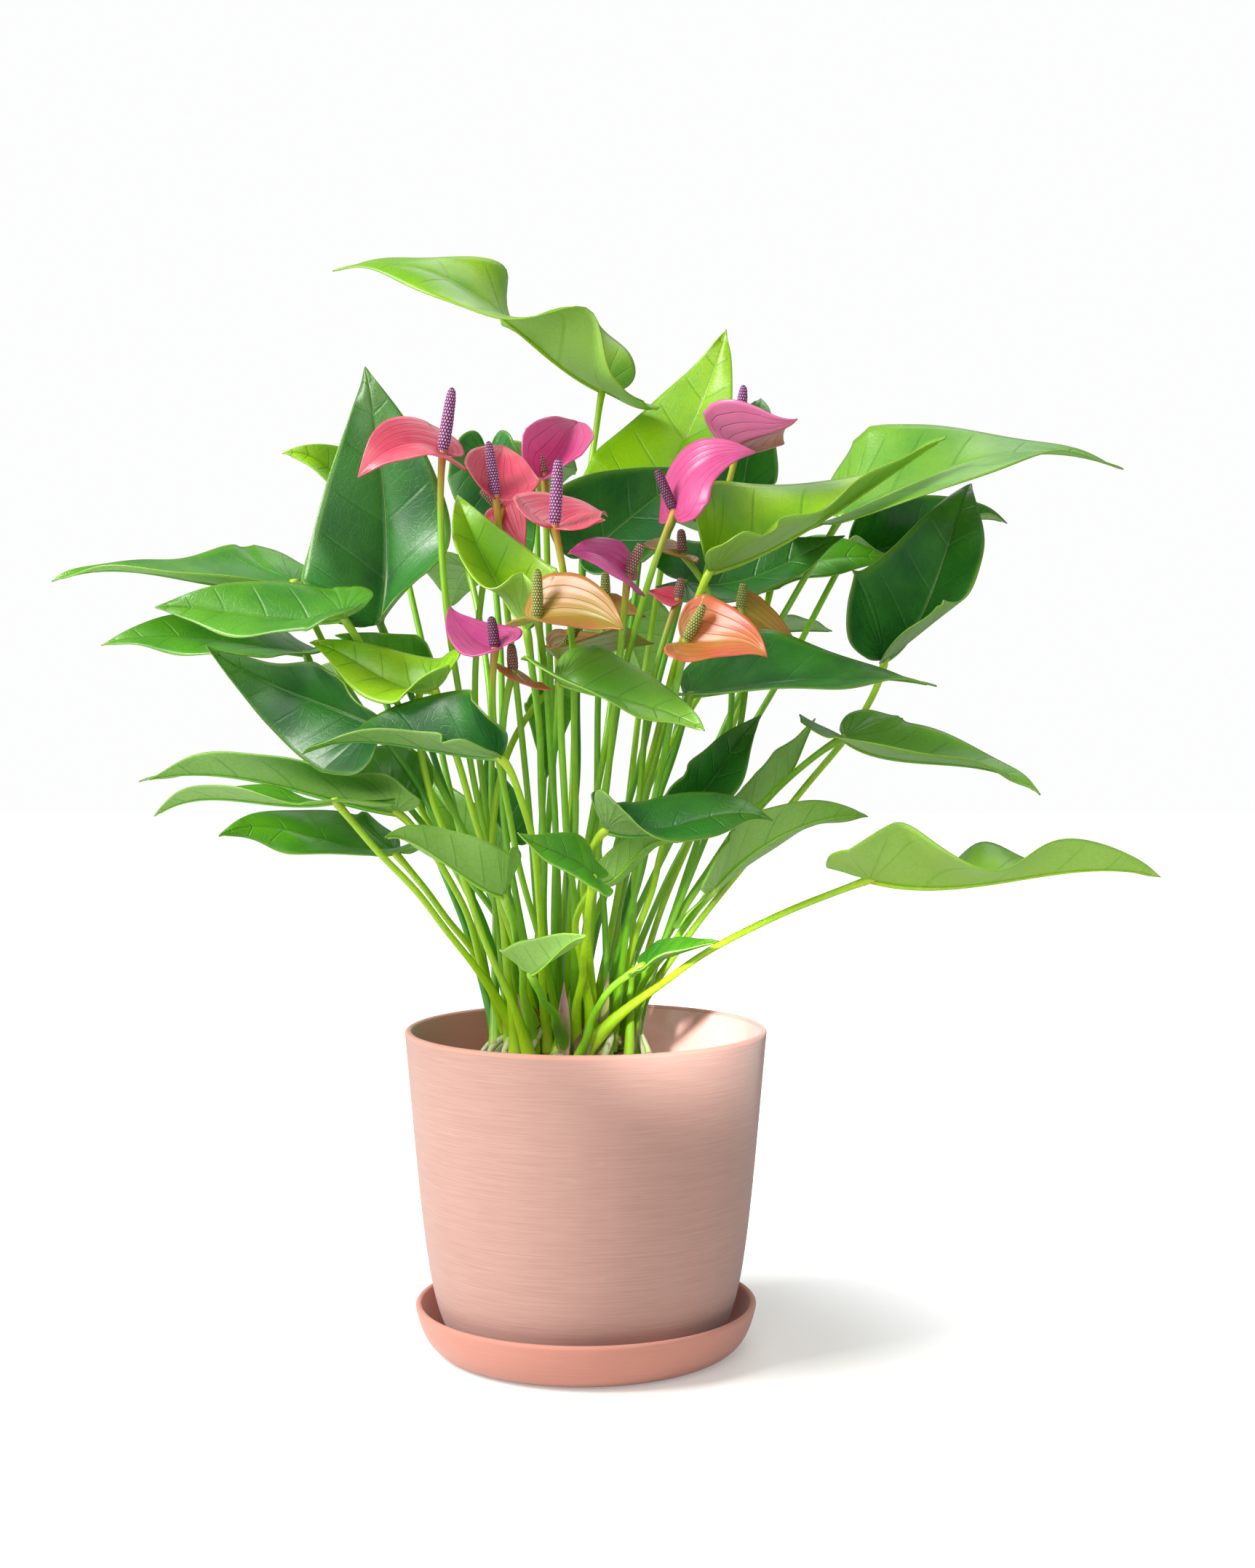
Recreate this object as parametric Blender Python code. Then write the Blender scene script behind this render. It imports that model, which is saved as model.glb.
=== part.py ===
"""A potted anthurium: a clump of heart-shaped leaves and small flowers in a clay pot on its saucer.

Metres, +Z up. The origin is the middle of the saucer's foot, on the surface that it stands on.
+X runs to the right and +Y away from a person who looks at the side where most flowers show.

Every leaf is one solid, its blade grown together with its stalk. A flower is two: the stem, which
ends in the spike, and the coloured spathe that sits round it. All of them stand on the rootstock,
which sits on the soil in the pot, and their places are measured from the middle of its top.
"""

import math

import bpy
import bmesh
import numpy as np

CLEARANCE = 0.0003          # between two pieces that rest on or in each other
ROUND_SEGMENTS = 40         # around the pot, the saucer, the soil and the rootstock

# Pot
POT_RADIUS = 0.100          # outside, at the rim
POT_HEIGHT = 0.1725
POT_FOOT_RADIUS = 0.070
POT_WALL = 0.0040
POT_FLOOR = 0.0055
POT_DRAIN_RADIUS = 0.008
POT_LOW_SWELL = (0.018, 0.008)     # how far out and up the wall's lower curve pulls, from the foot
POT_HIGH_SWELL = (0.009, 0.070)    # how far in from the rim the wall's upper curve pulls, and where

# Saucer
SAUCER_HEIGHT = 0.0262
SAUCER_FLOOR = 0.005
SAUCER_WALL = 0.0034
SAUCER_FOOT_MARGIN = 0.004  # how far its foot reaches beyond the pot's foot
SAUCER_ROOM = 0.0085        # between its lip and the pot

# Soil and rootstock
SOIL_BELOW_RIM = 0.036
SOIL_MOUND = 0.003          # how much higher the soil stands in the middle than at the wall
CROWN_HEIGHT = 0.022
CROWN_MARGIN = 0.0008       # between the outermost stem and the edge of the rootstock's top
CROWN_SLOPE = 0.005         # how much wider it is below
CROWN_SHIFT = (-0.011, 0.0)        # the clump isn't quite in the middle of the pot
FOOT_SPACING = 0.0051       # of the stems, which spiral out over the rootstock like sunflower seeds
GOLDEN_TURN = math.radians(137.5)

# Leaves
LEAF_THICKNESS = 0.0009
STALK_RADIUS = 0.0021
KNEE_RADIUS = 0.0028        # the stalk is thicker just below its blade
FOOT_RADIUS = 0.0024
FOOT_HEIGHT = 0.003         # the part of a stem that stands upright on the rootstock
STALK_SIDES = 5
STALK_STEPS = 8

# Flowers
SPATHE_THICKNESS = 0.0009
STEM_RADIUS = 0.0019
STEM_SIDES = 6
STEM_STEPS = 7

# Half of a blade's outline, from the notch at the stalk, round the lobe, to the tip. The first
# number runs along the midrib, in lobe lengths behind the stalk and in blade lengths ahead of it.
# The second is the distance from the midrib, in half widths.
HALF_OUTLINE = (
    (0.00, 0.00), (-0.62, 0.13), (-1.00, 0.40), (-0.65, 0.80), (0.08, 1.00), (0.36, 0.87),
    (0.58, 0.60), (0.78, 0.30), (1.00, 0.00),
)
VEIN_LEAN = 0.25            # how far a side vein runs forward on its way out, in blade lengths
BLADE_COLUMNS = 2           # faces from the midrib to the margin

# Where each leaf sits, measured from the middle of the rootstock's top. spot is its stem's place on
# the rootstock, counted from the middle. base is where stalk and blade meet, and faces is the way
# the upper side looks. width is half the blade's width in blade lengths. rise and sway bend the
# midrib up and sideways, a third and two thirds of the way along. fold lifts both halves off the
# flat, in degrees, at base and tip. curl bends the margins down, twist turns the tip, in degrees,
# lobe is the length of the lobes and lift is how far they rise. lead is the way in which the
# stalk leaves the blade.
LEAVES = {
    "leaf_01": dict(
        spot=40, base=(0.019, 0.102, 0.377), tip=(-0.137, 0.07, 0.441), faces=(0.0, -0.5, 0.85),
        width=0.35, rise=(0.04, 0.36), sway=(0.1, 0.14), fold=(25, 0), curl=0.05, lobe=0.14,
        lead=(-0.01, -0.01, -0.045), green="lime",
    ),
    "leaf_02": dict(
        spot=32, base=(0.045, 0.073, 0.306), tip=(0.093, 0.107, 0.414), faces=(-0.4, -0.8, 0.45),
        width=0.34, rise=(-0.12, -0.04), sway=(0.02, -0.04), fold=(20, 10), curl=-0.1, twist=5,
        lobe=0.16, green="lime",
    ),
    "leaf_03": dict(
        spot=22, base=(-0.096, -0.055, 0.232), tip=(-0.106, -0.033, 0.37), faces=(-0.2, -0.95, 0.1),
        width=0.36, rise=(-0.24, 0.12), sway=(0.0, -0.08), fold=(50, 0), curl=0.2, twist=10, lobe=0.18,
        lift=0.6, lead=(0.025, 0.04, -0.07), green="deep",
    ),
    "leaf_04": dict(
        spot=4, base=(-0.017, -0.097, 0.227), tip=(-0.054, -0.071, 0.298), faces=(0.45, -0.75, 0.45),
        width=0.34, rise=(-0.2, 0.18), sway=(-0.08, 0.18), fold=(65, 20), curl=-0.25, twist=-35,
        lobe=0.14, lift=0.8, lead=(0.01, 0.02, -0.07), green="lime",
    ),
    "leaf_05": dict(
        spot=19, base=(0.009, 0.022, 0.272), tip=(0.075, 0.059, 0.328), faces=(0.0, -0.95, 0.35),
        width=0.37, rise=(-0.04, 0.1), sway=(0.02, -0.02), fold=(25, 15), curl=-0.3, twist=5, lobe=0.12,
        lift=0.2, green="deep",
    ),
    "leaf_06": dict(
        spot=8, base=(0.077, -0.058, 0.259), tip=(0.208, -0.009, 0.336), faces=(-0.05, -0.8, 0.6),
        width=0.32, rise=(-0.18, -0.06), sway=(0.04, 0.02), fold=(65, 5), curl=0.15, twist=-70,
        lobe=0.12, lift=0.7, lead=(-0.02, 0.01, -0.035), green="lime",
    ),
    "leaf_07": dict(
        spot=24, base=(0.155, 0.036, 0.296), tip=(0.311, 0.019, 0.321), faces=(-0.35, -0.55, 0.75),
        width=0.34, rise=(0.22, 0.22), sway=(-0.18, 0.04), fold=(20, -5), curl=-0.1, twist=-25,
        lobe=0.12, lead=(-0.025, 0.0, -0.04), green="lime",
    ),
    "leaf_08": dict(
        spot=37, base=(0.165, 0.087, 0.282), tip=(0.261, 0.104, 0.298), faces=(0.05, -0.9, 0.4),
        width=0.36, rise=(-0.24, 0.22), sway=(-0.06, 0.1), fold=(60, 35), twist=-25, lobe=0.16,
        lift=0.5, green="deep",
    ),
    "leaf_09": dict(
        spot=42, base=(0.174, -0.015, 0.214), tip=(0.229, 0.038, 0.315), faces=(-0.4, -0.85, 0.3),
        width=0.34, rise=(-0.22, 0.18), sway=(-0.06, -0.06), fold=(50, 15), curl=-0.25, twist=20,
        lobe=0.16, lead=(-0.005, 0.005, -0.045), green="deep",
    ),
    "leaf_10": dict(
        spot=11, base=(0.066, 0.026, 0.259), tip=(0.157, 0.032, 0.285), faces=(-0.05, -0.65, 0.75),
        width=0.32, rise=(-0.18, 0.0), sway=(-0.08, -0.04), fold=(15, 25), twist=10, lobe=0.18,
        lift=-0.2, green="deep",
    ),
    "leaf_11": dict(
        spot=13, base=(0.067, -0.058, 0.195), tip=(0.192, -0.089, 0.199), faces=(-0.05, -0.4, 0.9),
        width=0.36, rise=(0.1, 0.08), sway=(-0.18, 0.06), fold=(20, 5), curl=-0.05, twist=-10,
        lobe=0.14, green="deep",
    ),
    "leaf_12": dict(
        spot=21, base=(0.149, -0.043, 0.172), tip=(0.247, -0.08, 0.143), faces=(0.0, -0.25, 0.95),
        width=0.34, rise=(-0.06, 0.12), sway=(-0.2, 0.16), fold=(20, 10), curl=-0.05, twist=-10,
        lobe=0.14, lift=-0.1, lead=(-0.04, 0.01, -0.02), green="light",
    ),
    "leaf_13": dict(
        spot=44, base=(0.159, -0.087, 0.1), tip=(0.305, -0.098, 0.102), faces=(-0.05, -0.2, 1.0),
        width=0.35, rise=(-0.06, 0.12), sway=(-0.14, -0.06), fold=(20, 20), curl=-0.05, twist=-50,
        lobe=0.12, lift=-0.3, lead=(-0.05, 0.025, -0.02), green="lime",
    ),
    "leaf_14": dict(
        spot=10, base=(0.0, -0.123, 0.201), tip=(0.071, -0.162, 0.177), faces=(0.35, -0.5, 0.8),
        width=0.35, rise=(0.04, 0.0), sway=(-0.14, 0.18), fold=(45, 5), curl=0.15, twist=20, lobe=0.12,
        lift=0.1, green="light",
    ),
    "leaf_15": dict(
        spot=26, base=(0.058, -0.073, 0.134), tip=(0.105, -0.044, 0.184), faces=(0.2, -0.9, 0.4),
        width=0.33, rise=(-0.12, -0.02), sway=(-0.14, 0.04), fold=(65, 20), twist=10, lobe=0.22,
        lift=0.2, green="deep",
    ),
    "leaf_16": dict(
        spot=29, base=(0.101, -0.015, 0.134), tip=(0.139, 0.015, 0.182), faces=(-0.55, 0.25, 0.8),
        width=0.34, rise=(-0.2, -0.04), sway=(-0.14, 0.12), fold=(25, 40), twist=-20, lobe=0.12,
        green="light",
    ),
    "leaf_17": dict(
        spot=18, base=(0.023, -0.125, 0.127), tip=(0.106, -0.125, 0.132), faces=(0.0, 0.0, 1.0),
        width=0.37, rise=(-0.14, 0.18), sway=(0.04, 0.02), fold=(55, 0), curl=0.35, twist=65, lobe=0.14,
        lift=0.6, lead=(-0.02, 0.015, -0.015), green="deep",
    ),
    "leaf_18": dict(
        spot=34, base=(0.078, -0.087, 0.095), tip=(0.162, -0.046, 0.13), faces=(-0.15, 0.6, 0.75),
        width=0.31, rise=(0.2, 0.12), sway=(0.16, -0.16), fold=(5, 20), curl=-0.1, twist=-10, lobe=0.22,
        lift=0.1, lead=(-0.015, 0.015, -0.02), green="light",
    ),
    "leaf_19": dict(
        spot=23, base=(0.017, -0.138, 0.105), tip=(-0.019, -0.155, 0.128), faces=(-0.3, -0.5, 0.8),
        width=0.36, rise=(0.2, -0.04), sway=(0.04, 0.06), fold=(20, 20), curl=0.15, twist=-40,
        lobe=0.16, lift=0.5, green="mid",
    ),
    "leaf_20": dict(
        spot=41, base=(-0.027, -0.131, 0.095), tip=(-0.08, -0.181, 0.127), faces=(0.1, 0.75, 0.7),
        width=0.32, rise=(-0.12, 0.28), sway=(0.04, -0.1), fold=(65, 40), curl=0.15, twist=25, lobe=0.2,
        lift=0.8, lead=(0.005, 0.01, -0.015), green="light",
    ),
    "leaf_21": dict(
        spot=43, base=(-0.092, -0.029, 0.11), tip=(-0.179, -0.07, 0.121), faces=(0.0, -0.2, 1.0),
        width=0.33, rise=(-0.04, 0.16), sway=(0.18, -0.2), fold=(35, -5), curl=0.15, twist=-45,
        lobe=0.14, lift=-0.2, lead=(0.025, 0.015, -0.03), green="mid",
    ),
    "leaf_22": dict(
        spot=33, base=(-0.114, -0.102, 0.141), tip=(-0.21, -0.081, 0.132), faces=(-0.25, 0.05, 0.95),
        width=0.34, rise=(-0.04, 0.18), sway=(0.1, 0.06), fold=(0, 35), twist=5, lobe=0.3, lift=-0.3,
        lead=(0.025, 0.02, -0.035), green="mid",
    ),
    "leaf_23": dict(
        spot=38, base=(-0.087, -0.061, 0.133), tip=(-0.224, -0.054, 0.149), faces=(-0.3, -0.3, 0.9),
        width=0.32, rise=(-0.02, 0.12), sway=(-0.06, -0.08), fold=(60, 10), curl=0.2, twist=45,
        lobe=0.12, lead=(0.025, -0.005, -0.015), green="deep",
    ),
    "leaf_24": dict(
        spot=30, base=(-0.095, -0.089, 0.179), tip=(-0.183, -0.08, 0.22), faces=(-0.45, -0.9, -0.1),
        width=0.34, rise=(-0.24, -0.2), sway=(0.08, 0.16), fold=(40, 20), curl=-0.05, lobe=0.22,
        lift=0.3, lead=(0.04, 0.02, -0.055), green="deep",
    ),
    "leaf_25": dict(
        spot=28, base=(-0.028, -0.145, 0.164), tip=(-0.128, -0.118, 0.165), faces=(-0.4, -0.75, 0.55),
        width=0.32, rise=(-0.22, 0.24), sway=(-0.12, -0.04), fold=(65, 15), twist=70, lobe=0.12,
        lift=0.1, lead=(0.02, 0.02, -0.02), green="deep",
    ),
    "leaf_26": dict(
        spot=20, base=(-0.062, -0.115, 0.197), tip=(-0.127, -0.098, 0.221), faces=(0.45, -0.65, 0.6),
        width=0.34, rise=(-0.24, 0.1), fold=(50, 0), curl=0.35, twist=-25, lobe=0.28, lift=0.3,
        green="lime",
    ),
    "leaf_27": dict(
        spot=9, base=(-0.109, -0.102, 0.233), tip=(-0.207, -0.09, 0.239), faces=(0.05, -0.25, 0.95),
        width=0.35, rise=(-0.08, 0.04), sway=(0.0, -0.02), fold=(35, 15), curl=0.35, twist=-60,
        lobe=0.14, lift=0.1, lead=(0.04, 0.07, -0.07), green="mid",
    ),
    "leaf_28": dict(
        spot=35, base=(-0.148, -0.009, 0.257), tip=(-0.272, -0.042, 0.255), faces=(-0.3, -0.35, 0.9),
        width=0.34, rise=(-0.06, 0.18), sway=(0.14, 0.12), fold=(5, 0), curl=-0.25, twist=5, lobe=0.14,
        lift=-0.3, lead=(0.03, 0.02, -0.075), green="mid",
    ),
    "leaf_29": dict(
        spot=3, base=(-0.138, -0.037, 0.217), tip=(-0.245, -0.046, 0.221), faces=(0.05, -0.1, 1.0),
        width=0.32, rise=(0.02, 0.12), sway=(-0.02, 0.02), fold=(5, 20), curl=0.1, twist=-40, lobe=0.14,
        lift=0.4, lead=(0.025, 0.005, -0.065), green="mid",
    ),
    "leaf_30": dict(
        spot=36, base=(-0.015, -0.102, 0.053), tip=(0.014, -0.146, 0.077), faces=(0.0, 0.15, 1.0),
        width=0.35, rise=(-0.06, 0.1), sway=(-0.02, -0.04), fold=(35, 15), curl=-0.05, twist=-15,
        lobe=0.22, lift=0.4, lead=(0.005, 0.01, -0.015), green="light",
    ),
    "leaf_31": dict(
        spot=27, base=(-0.04, 0.058, 0.095), tip=(-0.086, 0.089, 0.149), faces=(-0.25, -0.9, 0.4),
        width=0.34, rise=(-0.1, 0.24), sway=(0.04, 0.06), fold=(55, 10), curl=0.25, lobe=0.12, lift=0.4,
        green="light",
    ),
    "leaf_32": dict(
        spot=31, base=(0.02, -0.116, 0.1), tip=(0.06, -0.093, 0.119), faces=(-0.1, 0.5, 0.85),
        width=0.36, rise=(-0.1, 0.34), sway=(-0.02, -0.02), fold=(30, 15), curl=0.1, twist=-50,
        lobe=0.12, lift=-0.1, lead=(-0.025, 0.035, -0.02), green="light",
    ),
}

# Flowers, with the same values for the spathe. spike is the top end of the spike.
FLOWERS = {
    "flower_01": dict(
        spot=25, base=(-0.059, -0.102, 0.316), tip=(-0.1, -0.118, 0.302), faces=(-0.1, -0.5, 0.85),
        width=0.48, rise=(0.28, 0.26), sway=(-0.12, 0.0), fold=(15, 15), curl=0.05, twist=-35,
        lobe=0.26, lead=(-0.01, 0.01, -0.095), spike=(-0.054, -0.102, 0.349), spike_radius=0.0034,
        bract="coral", spadix="purple",
    ),
    "flower_02": dict(
        spot=14, base=(-0.033, -0.087, 0.295), tip=(-0.032, -0.051, 0.326), faces=(0.3, -0.9, 0.35),
        width=0.45, rise=(0.0, 0.16), sway=(0.08, -0.02), fold=(25, 10), curl=-0.2, lobe=0.14, lift=0.3,
        spike=(-0.037, -0.087, 0.324), spike_radius=0.0030, bract="coral", spadix="purple",
    ),
    "flower_03": dict(
        spot=6, base=(-0.01, -0.043, 0.311), tip=(0.007, -0.003, 0.344), faces=(-0.05, -1.0, 0.15),
        width=0.42, rise=(0.08, 0.18), sway=(-0.08, 0.0), fold=(50, 25), curl=-0.2, lobe=0.18, lift=0.1,
        spike=(-0.016, -0.043, 0.331), spike_radius=0.0030, bract="pink", spadix="brown",
    ),
    "flower_04": dict(
        spot=2, base=(-0.002, -0.125, 0.277), tip=(0.024, -0.094, 0.285), faces=(0.05, -0.5, 0.85),
        width=0.59, rise=(-0.04, 0.22), sway=(0.18, 0.06), fold=(10, 10), curl=-0.2, lobe=0.24,
        lead=(0.02, 0.01, -0.085), spike=(0.0, -0.125, 0.311), spike_radius=0.0034, bract="coral",
        spadix="purple",
    ),
    "flower_05": dict(
        spot=5, base=(0.034, -0.117, 0.253), tip=(0.005, -0.141, 0.263), faces=(0.45, -0.55, 0.7),
        width=0.47, rise=(0.14, 0.12), sway=(-0.06, -0.14), fold=(20, 0), curl=0.1, twist=-5, lobe=0.22,
        spike=(0.041, -0.117, 0.27), spike_radius=0.0030, bract="magenta", spadix="brown",
    ),
    "flower_06": dict(
        spot=16, base=(0.094, -0.015, 0.33), tip=(0.124, -0.043, 0.341), faces=(0.2, 0.5, 0.85),
        width=0.61, rise=(-0.08, -0.12), sway=(-0.14, 0.02), fold=(20, 35), curl=-0.1, twist=15,
        lobe=0.18, lift=-0.1, spike=(0.097, -0.015, 0.363), spike_radius=0.0034, bract="magenta",
        spadix="purple",
    ),
    "flower_07": dict(
        spot=1, base=(0.058, -0.077, 0.289), tip=(0.1, -0.079, 0.319), faces=(-0.3, -0.3, 0.9),
        width=0.5, rise=(0.26, 0.3), sway=(0.12, 0.02), fold=(5, 15), curl=0.25, twist=55, lobe=0.12,
        lead=(-0.035, -0.005, -0.085), spike=(0.049, -0.077, 0.311), spike_radius=0.0030, bract="pink",
        spadix="dark",
    ),
    "flower_08": dict(
        spot=7, base=(-0.01, -0.135, 0.231), tip=(0.032, -0.166, 0.225), faces=(-0.05, -0.55, 0.8),
        width=0.46, rise=(0.08, 0.0), sway=(0.1, 0.18), fold=(20, 15), curl=-0.15, twist=15, lobe=0.18,
        lead=(0.01, 0.065, -0.07), spike=(-0.01, -0.135, 0.256), spike_radius=0.0030, bract="olive",
        spadix="green",
    ),
    "flower_09": dict(
        spot=17, base=(-0.002, -0.067, 0.214), tip=(0.048, -0.047, 0.222), faces=(-0.1, -0.2, 1.0),
        width=0.56, rise=(-0.02, 0.0), sway=(-0.18, 0.06), fold=(20, 45), twist=-15, lobe=0.14,
        lift=0.5, lead=(0.0, 0.0, -0.065), spike=(0.01, -0.067, 0.234), spike_radius=0.0030,
        bract="olive", spadix="green",
    ),
    "flower_10": dict(
        spot=15, base=(-0.031, -0.131, 0.217), tip=(-0.055, -0.11, 0.239), faces=(0.4, -0.8, 0.4),
        width=0.44, rise=(-0.1, -0.02), sway=(0.08, 0.14), fold=(15, -5), twist=5, lobe=0.28, lift=0.4,
        lead=(-0.01, 0.015, -0.065), spike=(-0.033, -0.131, 0.233), spike_radius=0.0030,
        bract="magenta", spadix="dark",
    ),
    "flower_11": dict(
        spot=39, base=(0.062, -0.145, 0.22), tip=(0.1, -0.172, 0.212), faces=(0.15, -0.85, 0.5),
        width=0.49, rise=(-0.08, 0.12), sway=(0.06, 0.18), fold=(20, 0), curl=-0.2, lobe=0.12, lift=0.2,
        spike=(0.071, -0.149, 0.238), spike_radius=0.0030, bract="peach", spadix="green",
    ),
    "flower_12": dict(
        spot=12, base=(-0.023, -0.115, 0.206), tip=(-0.003, -0.127, 0.197), faces=(0.5, -0.15, 0.85),
        width=0.46, rise=(-0.16, -0.12), sway=(-0.08, 0.0), fold=(5, 15), curl=0.1, twist=20, lobe=0.26,
        lift=-0.4, lead=(-0.02, 0.02, -0.06), spike=(-0.024, -0.115, 0.22), spike_radius=0.0030,
        bract="peach", spadix="brown",
    ),
}

GREENS = {
    "lime": (0.27, 0.47, 0.06),
    "light": (0.18, 0.36, 0.09),
    "mid": (0.09, 0.25, 0.04),
    "deep": (0.03, 0.12, 0.03),
}
BRACTS = {
    "coral": (0.74, 0.13, 0.13),
    "pink": (0.70, 0.14, 0.26),
    "magenta": (0.50, 0.08, 0.22),
    "olive": (0.55, 0.45, 0.14),
    "peach": (0.80, 0.35, 0.14),
}
SPIKES = {
    "purple": (0.30, 0.12, 0.22),
    "dark": (0.13, 0.04, 0.07),
    "brown": (0.30, 0.17, 0.10),
    "green": (0.22, 0.26, 0.07),
}
STEM_COUNT = len(LEAVES) + len(FLOWERS)
POT_BASE_Z = SAUCER_FLOOR + CLEARANCE
SOIL_TOP = POT_HEIGHT - SOIL_BELOW_RIM              # above the pot's underside
CROWN_Z = POT_BASE_Z + SOIL_TOP + SOIL_MOUND + CLEARANCE
CROWN_TOP_RADIUS = FOOT_SPACING * math.sqrt(STEM_COUNT) + FOOT_RADIUS + CROWN_MARGIN


def clear_scene():
    for old in list(bpy.data.objects):
        bpy.data.objects.remove(old, do_unlink=True)


def unit(vector):
    return vector / np.linalg.norm(vector)


def bezier(a, b, c, d, t):
    t = np.asarray(t, float)[..., None]
    return (1 - t) ** 3 * a + 3 * t * (1 - t) ** 2 * b + 3 * t * t * (1 - t) * c + t ** 3 * d


def material(name, colour, roughness, metallic=0.0):
    made = bpy.data.materials.new(name)
    made.use_nodes = True
    shader = made.node_tree.nodes["Principled BSDF"]
    shader.inputs["Base Color"].default_value = (*colour, 1.0)
    shader.inputs["Roughness"].default_value = roughness
    shader.inputs["Metallic"].default_value = metallic
    made.diffuse_color = (*colour, 1.0)
    return made


def new_object(name, shape, look, parent=None):
    """An object from a bmesh, with its faces pointing out, shaded smooth."""
    bmesh.ops.remove_doubles(shape, verts=shape.verts, dist=1e-6)
    bmesh.ops.dissolve_degenerate(shape, edges=shape.edges, dist=1e-6)
    bmesh.ops.recalc_face_normals(shape, faces=shape.faces)
    mesh = bpy.data.meshes.new(name)
    shape.to_mesh(mesh)
    shape.free()
    mesh.shade_smooth()
    mesh.set_sharp_from_angle(angle=math.radians(50))
    made = bpy.data.objects.new(name, mesh)
    made.data.materials.append(look)
    made.parent = parent
    bpy.context.scene.collection.objects.link(made)
    return made


def helper(name, shape, look, parent):
    """A solid that only joins or cuts another one."""
    made = new_object(name, shape, look, parent)
    made.hide_render = True
    made.display_type = "WIRE"
    return made


def combine(made, other, operation):
    step = made.modifiers.new(other.name, "BOOLEAN")
    step.operation = operation
    step.object = other


# ---------------------------------------------------------------- turned pieces

def pot_outside(count):
    """Radius and height of the pot's wall, from the foot to just under the rounded lip."""
    foot = np.array((POT_FOOT_RADIUS, 0.0))
    top = np.array((POT_RADIUS, POT_HEIGHT - POT_WALL / 2))
    low = foot + np.array(POT_LOW_SWELL)
    high = np.array((POT_RADIUS - POT_HIGH_SWELL[0], POT_HIGH_SWELL[1]))
    return bezier(foot, low, high, top, np.linspace(0, 1, count))


def saucer_outside(count):
    """The same for the saucer, whose lip stands SAUCER_ROOM away from the pot."""
    wall = pot_outside(60)
    lip_height = SAUCER_HEIGHT - POT_BASE_Z
    pot_radius = float(np.interp(lip_height, wall[:, 1], wall[:, 0]))
    radius = pot_radius + SAUCER_ROOM + SAUCER_WALL
    foot = np.array((POT_FOOT_RADIUS + SAUCER_FOOT_MARGIN, 0.0))
    top = np.array((radius, SAUCER_HEIGHT - SAUCER_WALL / 2))
    low = foot + (top - foot) * (0.67, 0.04)
    high = foot + (top - foot) * (0.86, 0.50)
    return bezier(foot, low, high, top, np.linspace(0, 1, count))


def inset(line, depth):
    """The line moved towards the inside of the vessel by the wall's depth."""
    along = np.gradient(line, axis=0)
    along /= np.linalg.norm(along, axis=1)[:, None]
    return line + depth * np.stack([-along[:, 1], along[:, 0]], axis=1)


def lip(outer, inner):
    """The rounded edge from the top of the outside over to the top of the inside."""
    middle, half = (outer + inner) / 2, (outer - inner) / 2
    rise = np.array((-half[1], half[0]))
    turns = (math.pi / 4, math.pi / 2, math.pi * 3 / 4)
    return [middle + half * math.cos(turn) + rise * math.sin(turn) for turn in turns]


def turned(name, profile, height, look, centre=(0.0, 0.0), closed=False):
    """A turned solid. A closed profile makes a ring, an open one starts and ends on the axis."""
    shape = bmesh.new()
    corners = [shape.verts.new((radius, 0.0, z)) for radius, z in profile]
    pairs = list(zip(corners, corners[1:]))
    if closed:
        pairs.append((corners[-1], corners[0]))
    edges = [shape.edges.new(pair) for pair in pairs]
    bmesh.ops.spin(shape, geom=corners + edges, cent=(0, 0, 0), axis=(0, 0, 1),
                   angle=math.tau, steps=ROUND_SEGMENTS, use_merge=True)
    made = new_object(name, shape, look)
    made.location = (*centre, height)
    return made


def build_saucer():
    outside = saucer_outside(6)
    inside = inset(outside, SAUCER_WALL)
    inside = inside[inside[:, 1] > SAUCER_FLOOR + 0.001]
    floor_edge = (inside[0][0] - 0.004, SAUCER_FLOOR)
    profile = [(0.0, 0.0), *outside, *lip(outside[-1], inside[-1]), *inside[::-1],
               floor_edge, (0.0, SAUCER_FLOOR)]
    clay = material("saucer_clay", (0.69, 0.33, 0.24), 0.62)
    turned("saucer", profile, 0.0, clay)


def pot_walls():
    outside = pot_outside(9)
    inside = inset(outside, POT_WALL)
    return outside, inside[inside[:, 1] > POT_FLOOR + 0.003]


def build_pot():
    outside, inside = pot_walls()
    floor_edge = (inside[0][0] - 0.006, POT_FLOOR)
    profile = [(POT_DRAIN_RADIUS, 0.0), *outside, *lip(outside[-1], inside[-1]), *inside[::-1],
               floor_edge, (POT_DRAIN_RADIUS, POT_FLOOR)]
    clay = material("pot_clay", (0.60, 0.36, 0.29), 0.82)
    turned("pot", profile, POT_BASE_Z, clay, closed=True)


def build_soil():
    """Fills the pot up to SOIL_BELOW_RIM, with a gap to the wall and the floor."""
    _, wall = pot_walls()
    side = inset(wall, CLEARANCE * 2)
    edge = float(np.interp(SOIL_TOP, side[:, 1], side[:, 0]))
    middle = SOIL_TOP + SOIL_MOUND
    under = POT_FLOOR + CLEARANCE
    profile = [(0.0, under), (side[0][0] - 0.008, under)]
    profile += [corner for corner in side if corner[1] < SOIL_TOP - 0.004]
    profile += [(edge, SOIL_TOP), (CROWN_TOP_RADIUS + 0.020, middle), (0.0, middle)]
    mix = material("growing_mix", (0.07, 0.045, 0.03), 0.95)
    turned("soil", profile, POT_BASE_Z, mix)


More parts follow.
